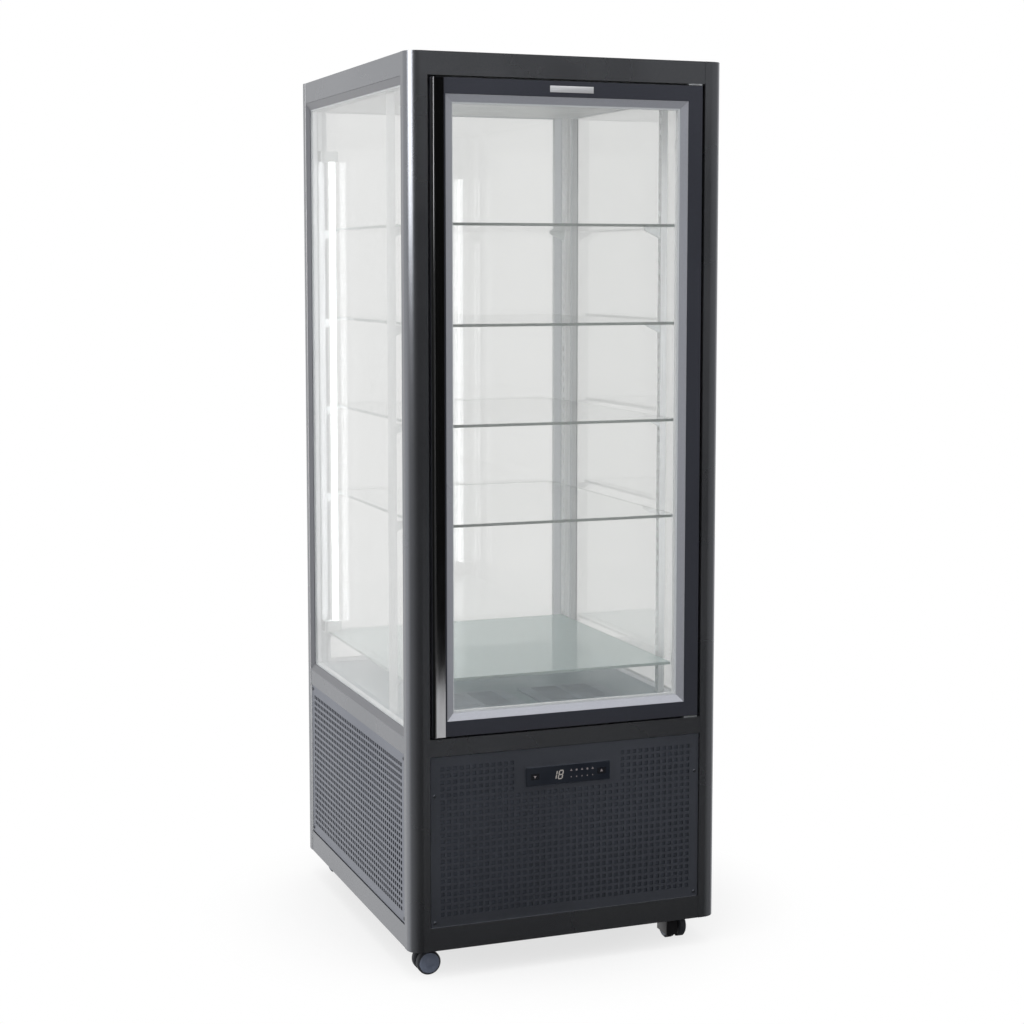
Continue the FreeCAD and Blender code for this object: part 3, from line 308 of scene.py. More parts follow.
@dataclass(frozen=True)
class BrushedMetal(Finish):
    """Bare metal with a grain that runs along one axis."""

    colour: Colour
    roughness: float
    stretch: Point
    metallic: float = 0.9
    grain: float = 0.12
    relief: float = 0.08
    relief_depth: float = 0.0002
    grain_dulling: float = 0.4
    smudge_scale: float = 9.0
    smudge_dulling: Flat = (0.9, 1.2)

    def shade(self, graph: Graph) -> Socket:
        """Build the metal's shader and give its output."""
        grain = graph.noise(graph.place(self.stretch), 1.0, detail=3.0)
        smudges = graph.noise(graph.place(), self.smudge_scale, detail=3.0)
        low, high = shaded(self.colour, 1 - self.grain), shaded(self.colour, 1 + self.grain)
        swing = self.grain_dulling * self.grain
        clean, smudged = (factor * self.roughness for factor in self.smudge_dulling)
        return graph.surface({
            "Base Color": graph.mix(graph.spread(grain), low, high),
            "Metallic": self.metallic,
            "Roughness": graph.sums("ADD", graph.spread(grain, -swing, swing),
                                    graph.spread(smudges, clean, smudged)),
            "Normal": graph.bump(grain, self.relief, self.relief_depth),
        })


@dataclass(frozen=True)
class ZincPlate(Finish):
    """Zinc-plated sheet steel with a faint crystal pattern."""

    colour: Colour
    roughness: float = 0.38
    metallic: float = 0.85
    crystal_scale: float = 160.0
    crystal_tones: Flat = (0.85, 1.1)
    crystal_relief: float = 0.05
    crystal_depth: float = 0.0002
    dust_scale: float = 14.0
    dust_dulling: Flat = (-0.06, 0.1)

    def shade(self, graph: Graph) -> Socket:
        """Build the zinc's shader and give its output."""
        place = graph.place()
        crystals = graph.node("TexVoronoi", {"Vector": place, "Scale": self.crystal_scale}).outputs["Color"]
        share = graph.node("SeparateColor", {"Color": crystals}).outputs[0]
        dust = graph.noise(place, self.dust_scale, detail=4.0)
        dark, bright = (shaded(self.colour, factor) for factor in self.crystal_tones)
        clean, dusty = (self.roughness + change for change in self.dust_dulling)
        return graph.surface({
            "Base Color": graph.mix(share, dark, bright),
            "Metallic": self.metallic,
            "Roughness": graph.spread(dust, clean, dusty),
            "Normal": graph.bump(share, self.crystal_relief, self.crystal_depth),
        })


@dataclass(frozen=True)
class Moulding(Finish):
    """Moulded plastic or rubber with a fine grain and slight wear."""

    colour: Colour
    roughness: float
    grain: float = 0.12
    grain_scale: float = 900.0
    wear_scale: float = 22.0
    wear_range: Flat = (0.3, 0.75)
    wear_tone: float = 1.18
    wear_dulling: Flat = (-0.04, 0.05)

    def shade(self, graph: Graph) -> Socket:
        """Build the moulding's shader and give its output."""
        place = graph.place()
        grain = graph.noise(place, self.grain_scale)
        wear = graph.noise(place, self.wear_scale, detail=4.0)
        worn = graph.span(wear, *self.wear_range, 0.0, 1.0)
        fresh, dull = (self.roughness + change for change in self.wear_dulling)
        return graph.surface({
            "Base Color": graph.mix(worn, self.colour, shaded(self.colour, self.wear_tone)),
            "Roughness": graph.spread(wear, fresh, dull),
            "Normal": graph.bump(grain, self.grain),
        })


@dataclass(frozen=True)
class SpacerBar(Finish):
    """Spacer bar between two panes, with a painted glow on its back faces, so that it looks pale also where a
    look through the pane that it touches ends within it.
    """

    colour: Colour
    roughness: float
    metallic: float = 0.1
    painted_glow_level: float = 0.9
    pore_scale: float = 700.0
    pore_tone: float = 0.94

    def shade(self, graph: Graph) -> Socket:
        """Build the bar's shader and give its output."""
        pores = graph.spread(graph.noise(graph.place(), self.pore_scale))
        tone = graph.mix(pores, shaded(self.colour, self.pore_tone), self.colour)
        bar = graph.surface({"Base Color": tone, "Metallic": self.metallic, "Roughness": self.roughness})
        # Painted glow: the back faces shine by themselves, though the bar is no lamp.
        painted_glow = graph.node("Emission", {"Color": tone, "Strength": self.painted_glow_level}).outputs[0]
        return graph.blend(graph.node("NewGeometry").outputs["Backfacing"], bar, painted_glow)


@dataclass(frozen=True)
class Glass(Finish):
    """Float glass that lets lamp light straight through, with opaque cut edges."""

    tint: Colour
    edge: Colour
    flat_axis: int
    index: float = 1.5
    cloud_scale: float = 4.0
    cloud_tone: float = 0.992
    flat_from: float = 0.7
    edge_roughness: float = 0.3
    chip_scale: float = 300.0
    chip_tones: Flat = (0.85, 1.15)

    def shade(self, graph: Graph) -> Socket:
        """Build the glass's shader and give its output."""
        place = graph.place()
        clouds = graph.noise(place, self.cloud_scale, detail=3.0)
        tone = graph.mix(clouds, shaded(self.tint, self.cloud_tone), self.tint)
        body = graph.surface({
            "Base Color": tone,
            "Roughness": 0.0,
            "IOR": self.index,
            "Transmission Weight": 1.0,
        })
        clear = graph.node("BsdfTransparent", {"Color": tone}).outputs[0]
        pane = graph.blend(graph.node("LightPath").outputs["Is Shadow Ray"], body, clear)
        dark, bright = (shaded(self.edge, factor) for factor in self.chip_tones)
        cut = graph.surface({
            "Base Color": graph.mix(graph.noise(place, self.chip_scale), dark, bright),
            "Roughness": self.edge_roughness,
        })
        across = graph.sums("ABSOLUTE", graph.outward()[self.flat_axis], 0.0)
        return graph.blend(graph.sums("GREATER_THAN", across, self.flat_from), cut, pane)


@dataclass(frozen=True)
class EtchedGlass(Glass):
    """Glass with etched faces, which veil what lies behind them."""

    veil: Colour = WHITE
    veil_share: float = 0.45
    veil_roughness: float = 0.35
    haze_scale: float = 7.0
    haze_tone: float = 0.94

    def shade(self, graph: Graph) -> Socket:
        """Build the etched glass's shader and give its output."""
        haze = graph.noise(graph.place(), self.haze_scale, detail=3.0)
        etched = graph.surface({
            "Base Color": graph.mix(haze, shaded(self.veil, self.haze_tone), self.veil),
            "Roughness": self.veil_roughness,
        })
        return graph.blend(self.veil_share, super().shade(graph), etched)


@dataclass(frozen=True)
class Glow(Finish):
    """Opal plastic or print that shines by itself."""

    colour: Colour
    strength: float
    roughness: float = 0.3
    speck_scale: float = 260.0
    speck_tone: float = 0.95

    def shade(self, graph: Graph) -> Socket:
        """Build the glowing shader and give its output."""
        specks = graph.spread(graph.noise(graph.place(), self.speck_scale))
        tone = graph.mix(specks, shaded(self.colour, self.speck_tone), self.colour)
        return graph.surface({
            "Base Color": tone,
            "Roughness": self.roughness,
            "Emission Color": tone,
            "Emission Strength": self.strength,
        })


@dataclass(frozen=True)
class FinStack(Finish):
    """Thin metal fins packed side by side."""

    colour: Colour
    pitch: float
    metallic: float = 0.8
    roughness: float = 0.4
    gap_tone: float = 0.25
    relief: float = 0.6
    relief_depth: float = 0.001

    def shade(self, graph: Graph) -> Socket:
        """Build the fins' shader and give its output."""
        sockets = {"Vector": graph.place(), "Scale": 2 * math.pi / (WAVE_FACTOR * self.pitch)}
        fins = graph.node("TexWave", sockets, bands_direction="X").outputs["Fac"]
        return graph.surface({
            "Base Color": graph.mix(fins, shaded(self.colour, self.gap_tone), self.colour),
            "Metallic": self.metallic,
            "Roughness": self.roughness,
            "Normal": graph.bump(fins, self.relief, self.relief_depth),
        })


class Finishes:
    """Finishes of the freezer, named for what they cover."""

    FRAME = Paint("frame_satin_anthracite", seen(134, 136, 141), metallic=0.93, roughness=0.27)
    POST = LinedPaint("post_satin_anthracite", seen(134, 136, 141), metallic=0.93, roughness=0.27,
                      lining=seen(242, 243, 244))
    DOOR = Paint("door_satin_anthracite", seen(68, 70, 79), metallic=0.45, roughness=0.32)
    PANEL = Paint("panel_textured_anthracite", seen(126, 130, 141), metallic=0.9, roughness=0.36, peel=0.2,
                  peel_scale=900.0)
    # Dark foam behind the perforated panels: a dust filter in shape, whose dark colour paints the shade of the
    # machine room seen through the holes.
    PAINTED_SHADE_FILTER = Moulding("dust_filter_and_painted_shade_foam", seen(62, 66, 76), 0.8, grain=0.6, grain_scale=500.0)
    BEAD = Paint("bead_satin_grey", seen(164, 166, 174), metallic=0.3, roughness=0.3)
    GLAZING_BEAD = Paint("glazing_bead_anthracite", seen(122, 123, 128), metallic=0.7, roughness=0.3)
    BLACK_STEEL = Paint("black_painted_steel", seen(30, 30, 33), metallic=0.1, roughness=0.4)
    ZINC = ZincPlate("zinc_plated_steel", seen(186, 189, 192))
    HANDLE = BrushedMetal("polished_dark_chrome", seen(165, 165, 167), 0.06, (300.0, 300.0, 8.0),
                          metallic=1.0, grain=0.04, relief=0.0)
    # Black strip of painted shade beside the handle, standing for the shadow in the gap by the door's edge.
    PAINTED_SHADE_STRIP = Moulding("black_painted_shade_strip", seen(12, 13, 15), 0.5)
    BADGE = BrushedMetal("blank_badge_aluminium", seen(204, 205, 208), 0.34, (12.0, 900.0, 900.0), metallic=0.3)
    DECK = BrushedMetal("brushed_deck_steel", seen(172, 184, 191), 0.4, (10.0, 900.0, 900.0), metallic=0.3)
    UPRIGHT = BrushedMetal("anodised_upright", seen(240, 241, 242), 0.36, (700.0, 700.0, 6.0), metallic=0.0)
    SCREW = BrushedMetal("screw_steel", seen(96, 98, 104), 0.35, (500.0, 500.0, 500.0))
    # The spacers carry a painted glow on their back faces.
    SPACER = SpacerBar("glass_spacer_aluminium", seen(218, 220, 222), 0.45)
    CLIP = Moulding("clear_shelf_clip", seen(226, 229, 229), 0.3, grain=0.03)
    GASKET = Moulding("door_gasket_grey", seen(118, 122, 132), 0.6)
    LINER = Moulding("white_liner_plastic", seen(228, 230, 230), 0.42, grain=0.04)
    FAN_FRAME = Moulding("fan_frame_black", seen(52, 54, 59), 0.5)
    AIR_GRILLE = Moulding("air_grille_grey", seen(176, 182, 192), 0.5)
    FAN = Moulding("fan_black", seen(40, 41, 44), 0.45)
    TERMINAL = Moulding("terminal_grey", seen(142, 144, 148), 0.5)
    CONTROLLER = Moulding("controller_gloss_black", seen(30, 34, 42), 0.14, grain=0.01)
    KEY = Moulding("key_gloss_black", seen(24, 25, 30), 0.22, grain=0.02)
    TYRE = Moulding("tyre_dark_grey", seen(52, 54, 60), 0.6)
    HUB_CAP = Moulding("hub_cap_blue_grey", seen(116, 124, 142), 0.4, grain=0.05)
    WALL_GLASS = Glass("side_glass", (0.92, 0.923, 0.92), (0.62, 0.67, 0.66), flat_axis=0)
    FACE_GLASS = Glass("door_and_rear_glass", (0.945, 0.947, 0.944), (0.62, 0.67, 0.66), flat_axis=1)
    SHELF_GLASS = Glass("clear_shelf_glass", (0.994, 0.998, 0.996), (0.26, 0.29, 0.28), flat_axis=2)
    FLOOR_SHELF = EtchedGlass("etched_shelf_glass", (0.94, 0.985, 0.975), (0.2, 0.24, 0.23), flat_axis=2,
                              veil=(0.57, 0.68, 0.67))
    TUBE = Glow("opal_light_tube", seen(252, 253, 255), 4.0)
    DIGITS = Glow("display_digits", seen(172, 167, 162), 0.12)
    MARKS = Glow("display_marks", seen(140, 132, 134), 0.1)
    FINS = FinStack("aluminium_fins", seen(190, 192, 194), 0.003)


class Shape:
    """Mesh under construction, in the frame of the solids."""

    def __init__(self) -> None:
        """Start from an empty mesh."""
        self.bm = bmesh.new()

    def soften(self, edges: Iterable[bmesh.types.BMEdge], offset: float, rings: int = 2) -> None:
        """Round some edges.

        Args:
            edges: the edges to round.
            offset: how far the rounding reaches, in metres.
            rings: steps in it.
        """
        bmesh.ops.bevel(self.bm, geom=list(edges), offset=offset, offset_type="OFFSET", segments=rings,
                        profile=0.5, affect="EDGES", clamp_overlap=True, material=-1)

    def block(self, low: Point, high: Point, edge: float) -> None:
        """Add a block.

        Args:
            low: its lowest corner.
            high: its highest corner.
            edge: rounding of its edges.
        """
        size = Vector(high) - Vector(low)
        middle = (Vector(high) + Vector(low)) / 2
        corners = bmesh.ops.create_cube(self.bm, size=1.0, matrix=Matrix.Translation(middle)
                                        @ Matrix.Diagonal((*size, 1.0)))["verts"]
        self.soften({e for corner in corners for e in corner.link_edges}, edge)

    def prism(self, outline: list[Flat], height: float, turn: Matrix) -> list[bmesh.types.BMEdge]:
        """Add an outline that is drawn up into a solid.

        Args:
            outline: its corners, in order, in the plane of its first two axes.
            height: how far it is drawn up along the third axis.
            turn: where the solid goes.

        Returns:
            The long edges, one to a corner, in the outline's order.
        """
        corners = [self.bm.verts.new(turn @ Vector((a, b, 0.0))) for a, b in outline]
        face = self.bm.faces.new(corners)
        drawn = bmesh.ops.extrude_face_region(self.bm, geom=[face])["geom"]
        raised = [item for item in drawn if isinstance(item, bmesh.types.BMVert)]
        bmesh.ops.translate(self.bm, verts=raised, vec=turn.to_3x3() @ (height * UP))
        tops = set(raised)
        return [next(e for e in corner.link_edges if e.other_vert(corner) in tops) for corner in corners]

    def turned(self, profile: list[Flat], turn: Matrix, steps: int) -> None:
        """Add a turned shape.

        Args:
            profile: radius and height of each point, from the axis round to the axis.
            turn: where the shape goes; it turns about the third axis.
            steps: facets round it.
        """
        points = [self.bm.verts.new(turn @ Vector((radius, 0.0, height))) for radius, height in profile]
        edges = [self.bm.edges.new(pair) for pair in zip(points, points[1:])]
        bmesh.ops.spin(self.bm, geom=points + edges, cent=turn.translation, axis=turn.to_3x3() @ UP,
                       angle=2 * math.pi, steps=steps, use_merge=True)

    def screw(self, at: Point, facing: Facing, radius: float, height: float = 0.0016) -> None:
        """Add a screw head with a round drive in it.

        Args:
            at: where it sits on its panel.
            facing: the side it looks out of.
            radius: of the head.
            height: of the head.
        """
        crown, drive, bowl = 0.8 * radius, 0.42 * radius, 0.357 * radius
        foot, shoulder, floor, middle = (share * height for share in (-0.4, 0.45, 0.35, 0.3))
        profile = [(0.0, foot), (radius, foot), (radius, shoulder), (crown, height), (drive, height),
                   (bowl, floor), (0.0, middle)]
        self.turned(profile, Matrix.Translation(at) @ facing.turn(), 16)

    def finish(self, name: str, finish: Finish, body: Body, slot: str) -> Piece:
        """Close the mesh and make it a piece of the freezer.

        Args:
            name: the piece's name.
            finish: what it is covered with.
            body: what it rides on.
            slot: the material slot of the record that it belongs to; it is not used.

        Returns:
            The piece.
        """
        bmesh.ops.remove_doubles(self.bm, verts=self.bm.verts, dist=SEAM)
        bmesh.ops.recalc_face_normals(self.bm, faces=self.bm.faces)
        for face in self.bm.faces:
            face.smooth = True
        mesh = bpy.data.meshes.new(name)
        self.bm.to_mesh(mesh)
        self.bm.free()
        mesh.set_sharp_from_angle(angle=SHARP_ANGLE)
        mesh.materials.append(finish.material())
        piece = bpy.data.objects.new(name, mesh)
        bpy.context.scene.collection.objects.link(piece)
        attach(piece, body.value)
        return piece


class SubAssembly:
    """Part of the freezer that dresses its solids and adds the pieces that they leave out."""

    covers: ClassVar[Covers] = {}

    def build(self) -> list[Piece]:
        """Make the added pieces and give them."""
        return []

    def dress(self) -> None:
        """Cover the solids with their finishes."""
        for finish, nodes in self.covers.items():
            for node in nodes:
                solid = frame["nodes"][node]
                if not solid.material_slots:
                    solid.data.materials.append(None)
                for slot in solid.material_slots:
                    slot.material = finish.material()


@dataclass
class Carcass(SubAssembly):
    """Posts, rails, roof and floor of the cabinet."""

    roof_screw_radius: float = 0.0045
    roof_screw_inset: float = 0.045

    covers: ClassVar[Covers] = {
        Finishes.POST: tuple(f"post_{corner}" for corner in CORNERS),
        Finishes.FRAME: ("lower_frame", "mid_frame", "top_frame", "roof_panel"),
        Finishes.ZINC: ("base_plate",),
        Finishes.LINER: ("ceiling_liner",),
    }

    def build(self) -> list[Piece]:
        """Make the roof's screws and give them."""
        low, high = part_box("roof_panel")
        screws = Shape()
        for x in (low.x + self.roof_screw_inset, 0.0, high.x - self.roof_screw_inset):
            for y in (low.y + self.roof_screw_inset, high.y - self.roof_screw_inset):
                screws.screw((x, y, high.z), Facing.TOP, self.roof_screw_radius)
        return [screws.finish("roof_screws", Finishes.SCREW, Body.CABINET, "zinc_steel")]


@dataclass
class BasePanels(SubAssembly):
    """Perforated panels of the base and the rear cover, with their screws and dark dust filters, which paint the
    shade of the machine room behind the holes.
    """

    screw_radius: float = 0.0036
    screw_inset: float = 0.009
    front_screw_drop: float = 0.08
    # Size and place of the dark filters that paint the shade behind the holes.
    painted_shade_filter_gap: float = 0.0015
    painted_shade_filter_thickness: float = 0.0025
    painted_shade_filter_margin: float = 0.016
    painted_shade_filter_edge: float = 0.0006
    controller_margin: float = 0.004

    covers: ClassVar[Covers] = {Finishes.PANEL: ("front_panel", "left_panel", "right_panel", "rear_cover")}

    def build(self) -> list[Piece]:
        """Make the panels' screws and the dark filters of painted shade and give them."""
        return [self.screws(), self.front_painted_shade_filter(), self.side_painted_shade_filter("left", 1), self.side_painted_shade_filter("right", -1)]

    def front_painted_shade_filter(self) -> Piece:
        """Make the dark dust filter behind the front panel, clear of the controller, which paints the shade
        behind the holes, and give it.
        """
        low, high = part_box("front_panel")
        left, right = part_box("controller")
        near = high.y + self.painted_shade_filter_gap
        far = near + self.painted_shade_filter_thickness
        margin, clear, edge = self.painted_shade_filter_margin, self.controller_margin, self.painted_shade_filter_edge
        step = left.z - clear
        mats = Shape()
        mats.block((low.x + margin, near, low.z + margin), (high.x - margin, far, step), edge)
        mats.block((low.x + margin, near, step), (left.x - clear, far, high.z - margin), edge)
        mats.block((right.x + clear, near, step), (high.x - margin, far, high.z - margin), edge)
        return mats.finish("front_painted_shade_filter", Finishes.PAINTED_SHADE_FILTER, Body.CABINET, "grille_black")

    def side_painted_shade_filter(self, side: str, inward: int) -> Piece:
        """Make the dark dust filter behind a side panel, which paints the shade behind the holes.

        Args:
            side: left or right.
            inward: sign of the direction from the panel to the machine room.

        Returns:
            The filter.
        """
        low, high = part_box(f"{side}_panel")
        near = (high.x if inward > 0 else low.x) + inward * self.painted_shade_filter_gap
        ends = sorted((near, near + inward * self.painted_shade_filter_thickness))
        margin = self.painted_shade_filter_margin
        mat = Shape()
        mat.block((ends[0], low.y + margin, low.z + margin), (ends[1], high.y - margin, high.z - margin),
                  self.painted_shade_filter_edge)
        # The side filter's dark colour paints the shade behind the panel's holes.
        return mat.finish(f"{side}_filter", Finishes.PAINTED_SHADE_FILTER, Body.CABINET, "grille_black")

    def screws(self) -> Piece:
        """Make the panels' screws and give them."""
        low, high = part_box("front_panel")
        screws = Shape()
        for x in (low.x + self.screw_inset, high.x - self.screw_inset):
            for z in (low.z + self.screw_inset, high.z - self.front_screw_drop):
                screws.screw((x, low.y, z), Facing.FRONT, self.screw_radius)
        for node, facing in (("left_panel", Facing.LEFT), ("right_panel", Facing.RIGHT)):
            low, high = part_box(node)
            x = low.x if facing is Facing.LEFT else high.x
            for y in (low.y + self.screw_inset, high.y - self.screw_inset):
                for z in (low.z + self.screw_inset, high.z - self.screw_inset):
                    screws.screw((x, y, z), facing, self.screw_radius)
        return screws.finish("panel_screws", Finishes.SCREW, Body.CABINET, "zinc_steel")


class Glazing(SubAssembly):
    """Fixed panes of the sides and the rear, with their spacers and beads."""

    covers: ClassVar[Covers] = {
        Finishes.WALL_GLASS: ("left_glass", "right_glass"),
        Finishes.FACE_GLASS: ("rear_glass",),
        Finishes.SPACER: ("glass_spacers",),
        Finishes.GLAZING_BEAD: ("glazing_beads",),
    }


@dataclass
class Door(SubAssembly):
    """Glass door with its frame, seal, hinges, long handle and blank badge plate."""

    lip_width: float = 0.0026
    strip_thickness: float = 0.002
    lip_rounding: float = 0.0008
    lip_rings: int = 4
    # Size of the black strip of painted shade beside the handle.
    shade_strip_thickness: float = 0.0006
    shade_strip_inset: float = 0.0004
    shade_strip_edge: float = 0.0002
    badge_size: Flat = (0.094, 0.013)
    badge_middle: Flat = (0.004, 1.794)
    badge_thickness: float = 0.0014
    badge_edge: float = 0.0006
    sunk: float = 0.0002

    covers: ClassVar[Covers] = {
        Finishes.DOOR: ("door_frame",),
        Finishes.FACE_GLASS: ("door_glass",),
        Finishes.SPACER: ("door_spacer",),
        Finishes.BEAD: ("door_beads",),
        Finishes.GASKET: ("door_gasket",),
        Finishes.HANDLE: ("door_handle",),
        Finishes.ZINC: ("door_hinges",),
        Finishes.LINER: ("door_jamb",),
    }

    def build(self) -> list[Piece]:
        """Make the handle, the black strip of painted shade beside it and the badge plate and give them."""
        return [self.handle(), self.painted_shade_strip(), self.badge()]

    def handle(self) -> Piece:
        """Make the long handle, a polished strip with a raised lip, and give it."""
        low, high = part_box("door_handle")
        lip, floor = low.x + self.lip_width, high.y - self.strip_thickness
        outline = [(low.x, high.y), (low.x, low.y), (lip, low.y), (lip, floor), (high.x, floor),
                   (high.x, high.y)]
        channel = Shape()
        edges = channel.prism(outline, high.z - low.z, Matrix.Translation((0.0, 0.0, low.z)))
        channel.soften(edges[1:3], self.lip_rounding, self.lip_rings)
        piece = channel.finish("handle_channel", Finishes.HANDLE, Body.DOOR, "dark_chrome")
        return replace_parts(piece, "door_handle")

    def painted_shade_strip(self) -> Piece:
        """Make the black strip of painted shade between the door's edge and the handle, which stands for the
        shadow in the gap there, and give it.
        """
        low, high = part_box("door_frame")
        inset = self.shade_strip_inset
        strip = Shape()
        strip.block((low.x + inset, low.y - self.shade_strip_thickness, low.z + inset),
                    (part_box("door_handle")[0].x, low.y + self.sunk, high.z - inset), self.shade_strip_edge)
        return strip.finish("handle_painted_shade_strip", Finishes.PAINTED_SHADE_STRIP, Body.DOOR, "seal_rubber")

    def badge(self) -> Piece:
        """Make the blank plate on the door's top rail and give it."""
        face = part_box("door_frame")[0].y
        x, z = self.badge_middle
        wide, tall = self.badge_size
        plate = Shape()
        plate.block((x - wide / 2, face - self.badge_thickness, z - tall / 2),
                    (x + wide / 2, face + self.sunk, z + tall / 2), self.badge_edge)
        return plate.finish("blank_badge", Finishes.BADGE, Body.DOOR, "bright_metal")


class Cabin(SubAssembly):
    """Shelves, uprights, lights and floor of the cold cabin."""

    covers: ClassVar[Covers] = {
        Finishes.SHELF_GLASS: ("shelf_1", "shelf_2", "shelf_3", "shelf_4"),
        Finishes.FLOOR_SHELF: ("shelf_5",),
        Finishes.UPRIGHT: ("shelf_uprights",),
        Finishes.CLIP: ("shelf_clips",),
        Finishes.TUBE: ("light_tubes",),
        Finishes.LINER: ("light_holders",),
        Finishes.DECK: ("deck",),
        Finishes.AIR_GRILLE: ("air_grilles",),
    }


class ColdWell(SubAssembly):
    """Insulated tub under the deck with the evaporator and its fans."""

    covers: ClassVar[Covers] = {
        Finishes.LINER: ("insulated_tub",),
        Finishes.FINS: ("evaporator",),
        Finishes.FAN_FRAME: ("evaporator_fan_mounts",),
        Finishes.FAN: ("evaporator_fan_left", "evaporator_fan_right"),
    }


class MachineRoom(SubAssembly):
    """Compressor, condenser, its fan and the mains connection in the base."""

    covers: ClassVar[Covers] = {
        Finishes.BLACK_STEEL: ("compressor",),
        Finishes.FINS: ("condenser",),
        Finishes.FAN_FRAME: ("condenser_fan_mount",),
        Finishes.FAN: ("condenser_fan",),
        Finishes.TERMINAL: ("terminal_box",),
    }


class Bar(Enum):
    """Bars of a seven-bar digit: their middle, in half widths and half heights, and whether they stand."""

    TOP = (0.0, 1.0, False)
    UPPER_RIGHT = (1.0, 0.5, True)
    LOWER_RIGHT = (1.0, -0.5, True)
    BOTTOM = (0.0, -1.0, False)
    LOWER_LEFT = (-1.0, -0.5, True)
    UPPER_LEFT = (-1.0, 0.5, True)
    MIDDLE = (0.0, 0.0, False)


@dataclass
class ControlPanel(SubAssembly):
    """Controller with its lit digits, small marks and two keys."""

    digits: tuple[tuple[Bar, ...], ...] = ((Bar.UPPER_RIGHT, Bar.LOWER_RIGHT), tuple(Bar))
    digit_size: Flat = (0.0085, 0.017)
    digit_pitch: float = 0.0135
    digits_middle: float = -0.024
    bar_width: float = 0.0022
    bar_gap: float = 0.0004
    slant: float = 0.2
    print_height: float = 0.0003
    marks_start: float = 0.006
    mark_pitch: float = 0.012
    mark_count: int = 5
    mark_radius: float = 0.003
    small_mark: float = 0.6
    mark_margin: float = 0.012
    mark_tips: tuple[int, int] = (3, 6)
    mark_waist: float = 0.45
    key_mark_radius: float = 0.0036

    covers: ClassVar[Covers] = {
        Finishes.CONTROLLER: ("controller",),
        Finishes.KEY: ("controller_key_left", "controller_key_right"),
    }

    def build(self) -> list[Piece]:
        """Make the display's digits and marks and the keys' arrows and give them."""
        keys = (("left", Body.KEY_LEFT, -math.pi / 2), ("right", Body.KEY_RIGHT, math.pi / 2))
        return [self.number(), self.marks(), *(self.key_mark(*key) for key in keys)]

    def face(self, x: float, y: float, z: float) -> Matrix:
        """Give the place of a print that stands on the front, sunk into it by a third of its height."""
        return Matrix.Translation((x, y + self.print_height / 3, z)) @ Matrix.Rotation(math.pi / 2, 4, "X")

    def bar(self, length: float, upright: bool) -> list[Flat]:
        """Give the outline of a digit's bar, with pointed ends.

        Args:
            length: from tip to tip.
            upright: whether the bar stands.

        Returns:
            The outline's corners, in order.
        """
        half, wide = length / 2, self.bar_width / 2
        lying = [(-half, 0.0), (wide - half, -wide), (half - wide, -wide), (half, 0.0), (half - wide, wide),
                 (wide - half, wide)]
        return [(-b, a) for a, b in lying] if upright else lying

    def number(self) -> Piece:
        """Make the lit digits and give them."""
        low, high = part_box("controller")
        wide, tall = self.digit_size
        lean = Matrix.Identity(4)
        lean[0][1] = self.slant
        shape = Shape()
        for place, bars in enumerate(self.digits):
            x = self.digits_middle + (place - (len(self.digits) - 1) / 2) * self.digit_pitch
            for lit in bars:
                across, up, upright = lit.value
                shift = Matrix.Translation((across * wide / 2, up * tall / 2, 0.0))
                length = (tall / 2 if upright else wide) - self.bar_gap
                turn = self.face(x, low.y, (low.z + high.z) / 2) @ lean @ shift
                shape.prism(self.bar(length, upright), self.print_height, turn)
        return shape.finish("display_digits", Finishes.DIGITS, Body.CABINET, "controller_black")

    def marks(self) -> Piece:
        """Make the two rows of small indicator marks and give them."""
        low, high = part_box("controller")
        rows = ((high.z - self.mark_margin, self.mark_radius),
                (low.z + self.mark_margin, self.small_mark * self.mark_radius))
        shape = Shape()
        for place in range(self.mark_count):
            x = self.marks_start + place * self.mark_pitch
            for z, radius in rows:
                outline = self.star(self.mark_tips[place % 2], radius)
                shape.prism(outline, self.print_height, self.face(x, low.y, z))
        return shape.finish("display_marks", Finishes.MARKS, Body.CABINET, "controller_black")

    def star(self, tips: int, radius: float) -> list[Flat]:
        """Give the outline of a small star.

        Args:
            tips: how many it has.
            radius: of the tips.

        Returns:
            The outline's corners, in order.
        """
        outline = []
        for step in range(2 * tips):
            reach = radius * (self.mark_waist if step % 2 else 1.0)
            angle = math.pi / 2 + math.pi * step / tips
            outline.append((reach * math.cos(angle), reach * math.sin(angle)))
        return outline

    def key_mark(self, side: str, body: Body, angle: float) -> Piece:
        """Make the arrow on a key.

        Args:
            side: left or right.
            body: the key that it rides on.
            angle: where the arrow points.

        Returns:
            The arrow.
        """
        low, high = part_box(f"controller_key_{side}")
        reach = self.key_mark_radius
        outline = [(reach * math.cos(angle + turn), reach * math.sin(angle + turn))
                   for turn in (0.0, 2 * math.pi / 3, 4 * math.pi / 3)]
        shape = Shape()
        place = self.face((low.x + high.x) / 2, low.y, (low.z + high.z) / 2)
        shape.prism(outline, self.print_height, place)
        return shape.finish(f"key_mark_{side}", Finishes.MARKS, body, "key_plastic")


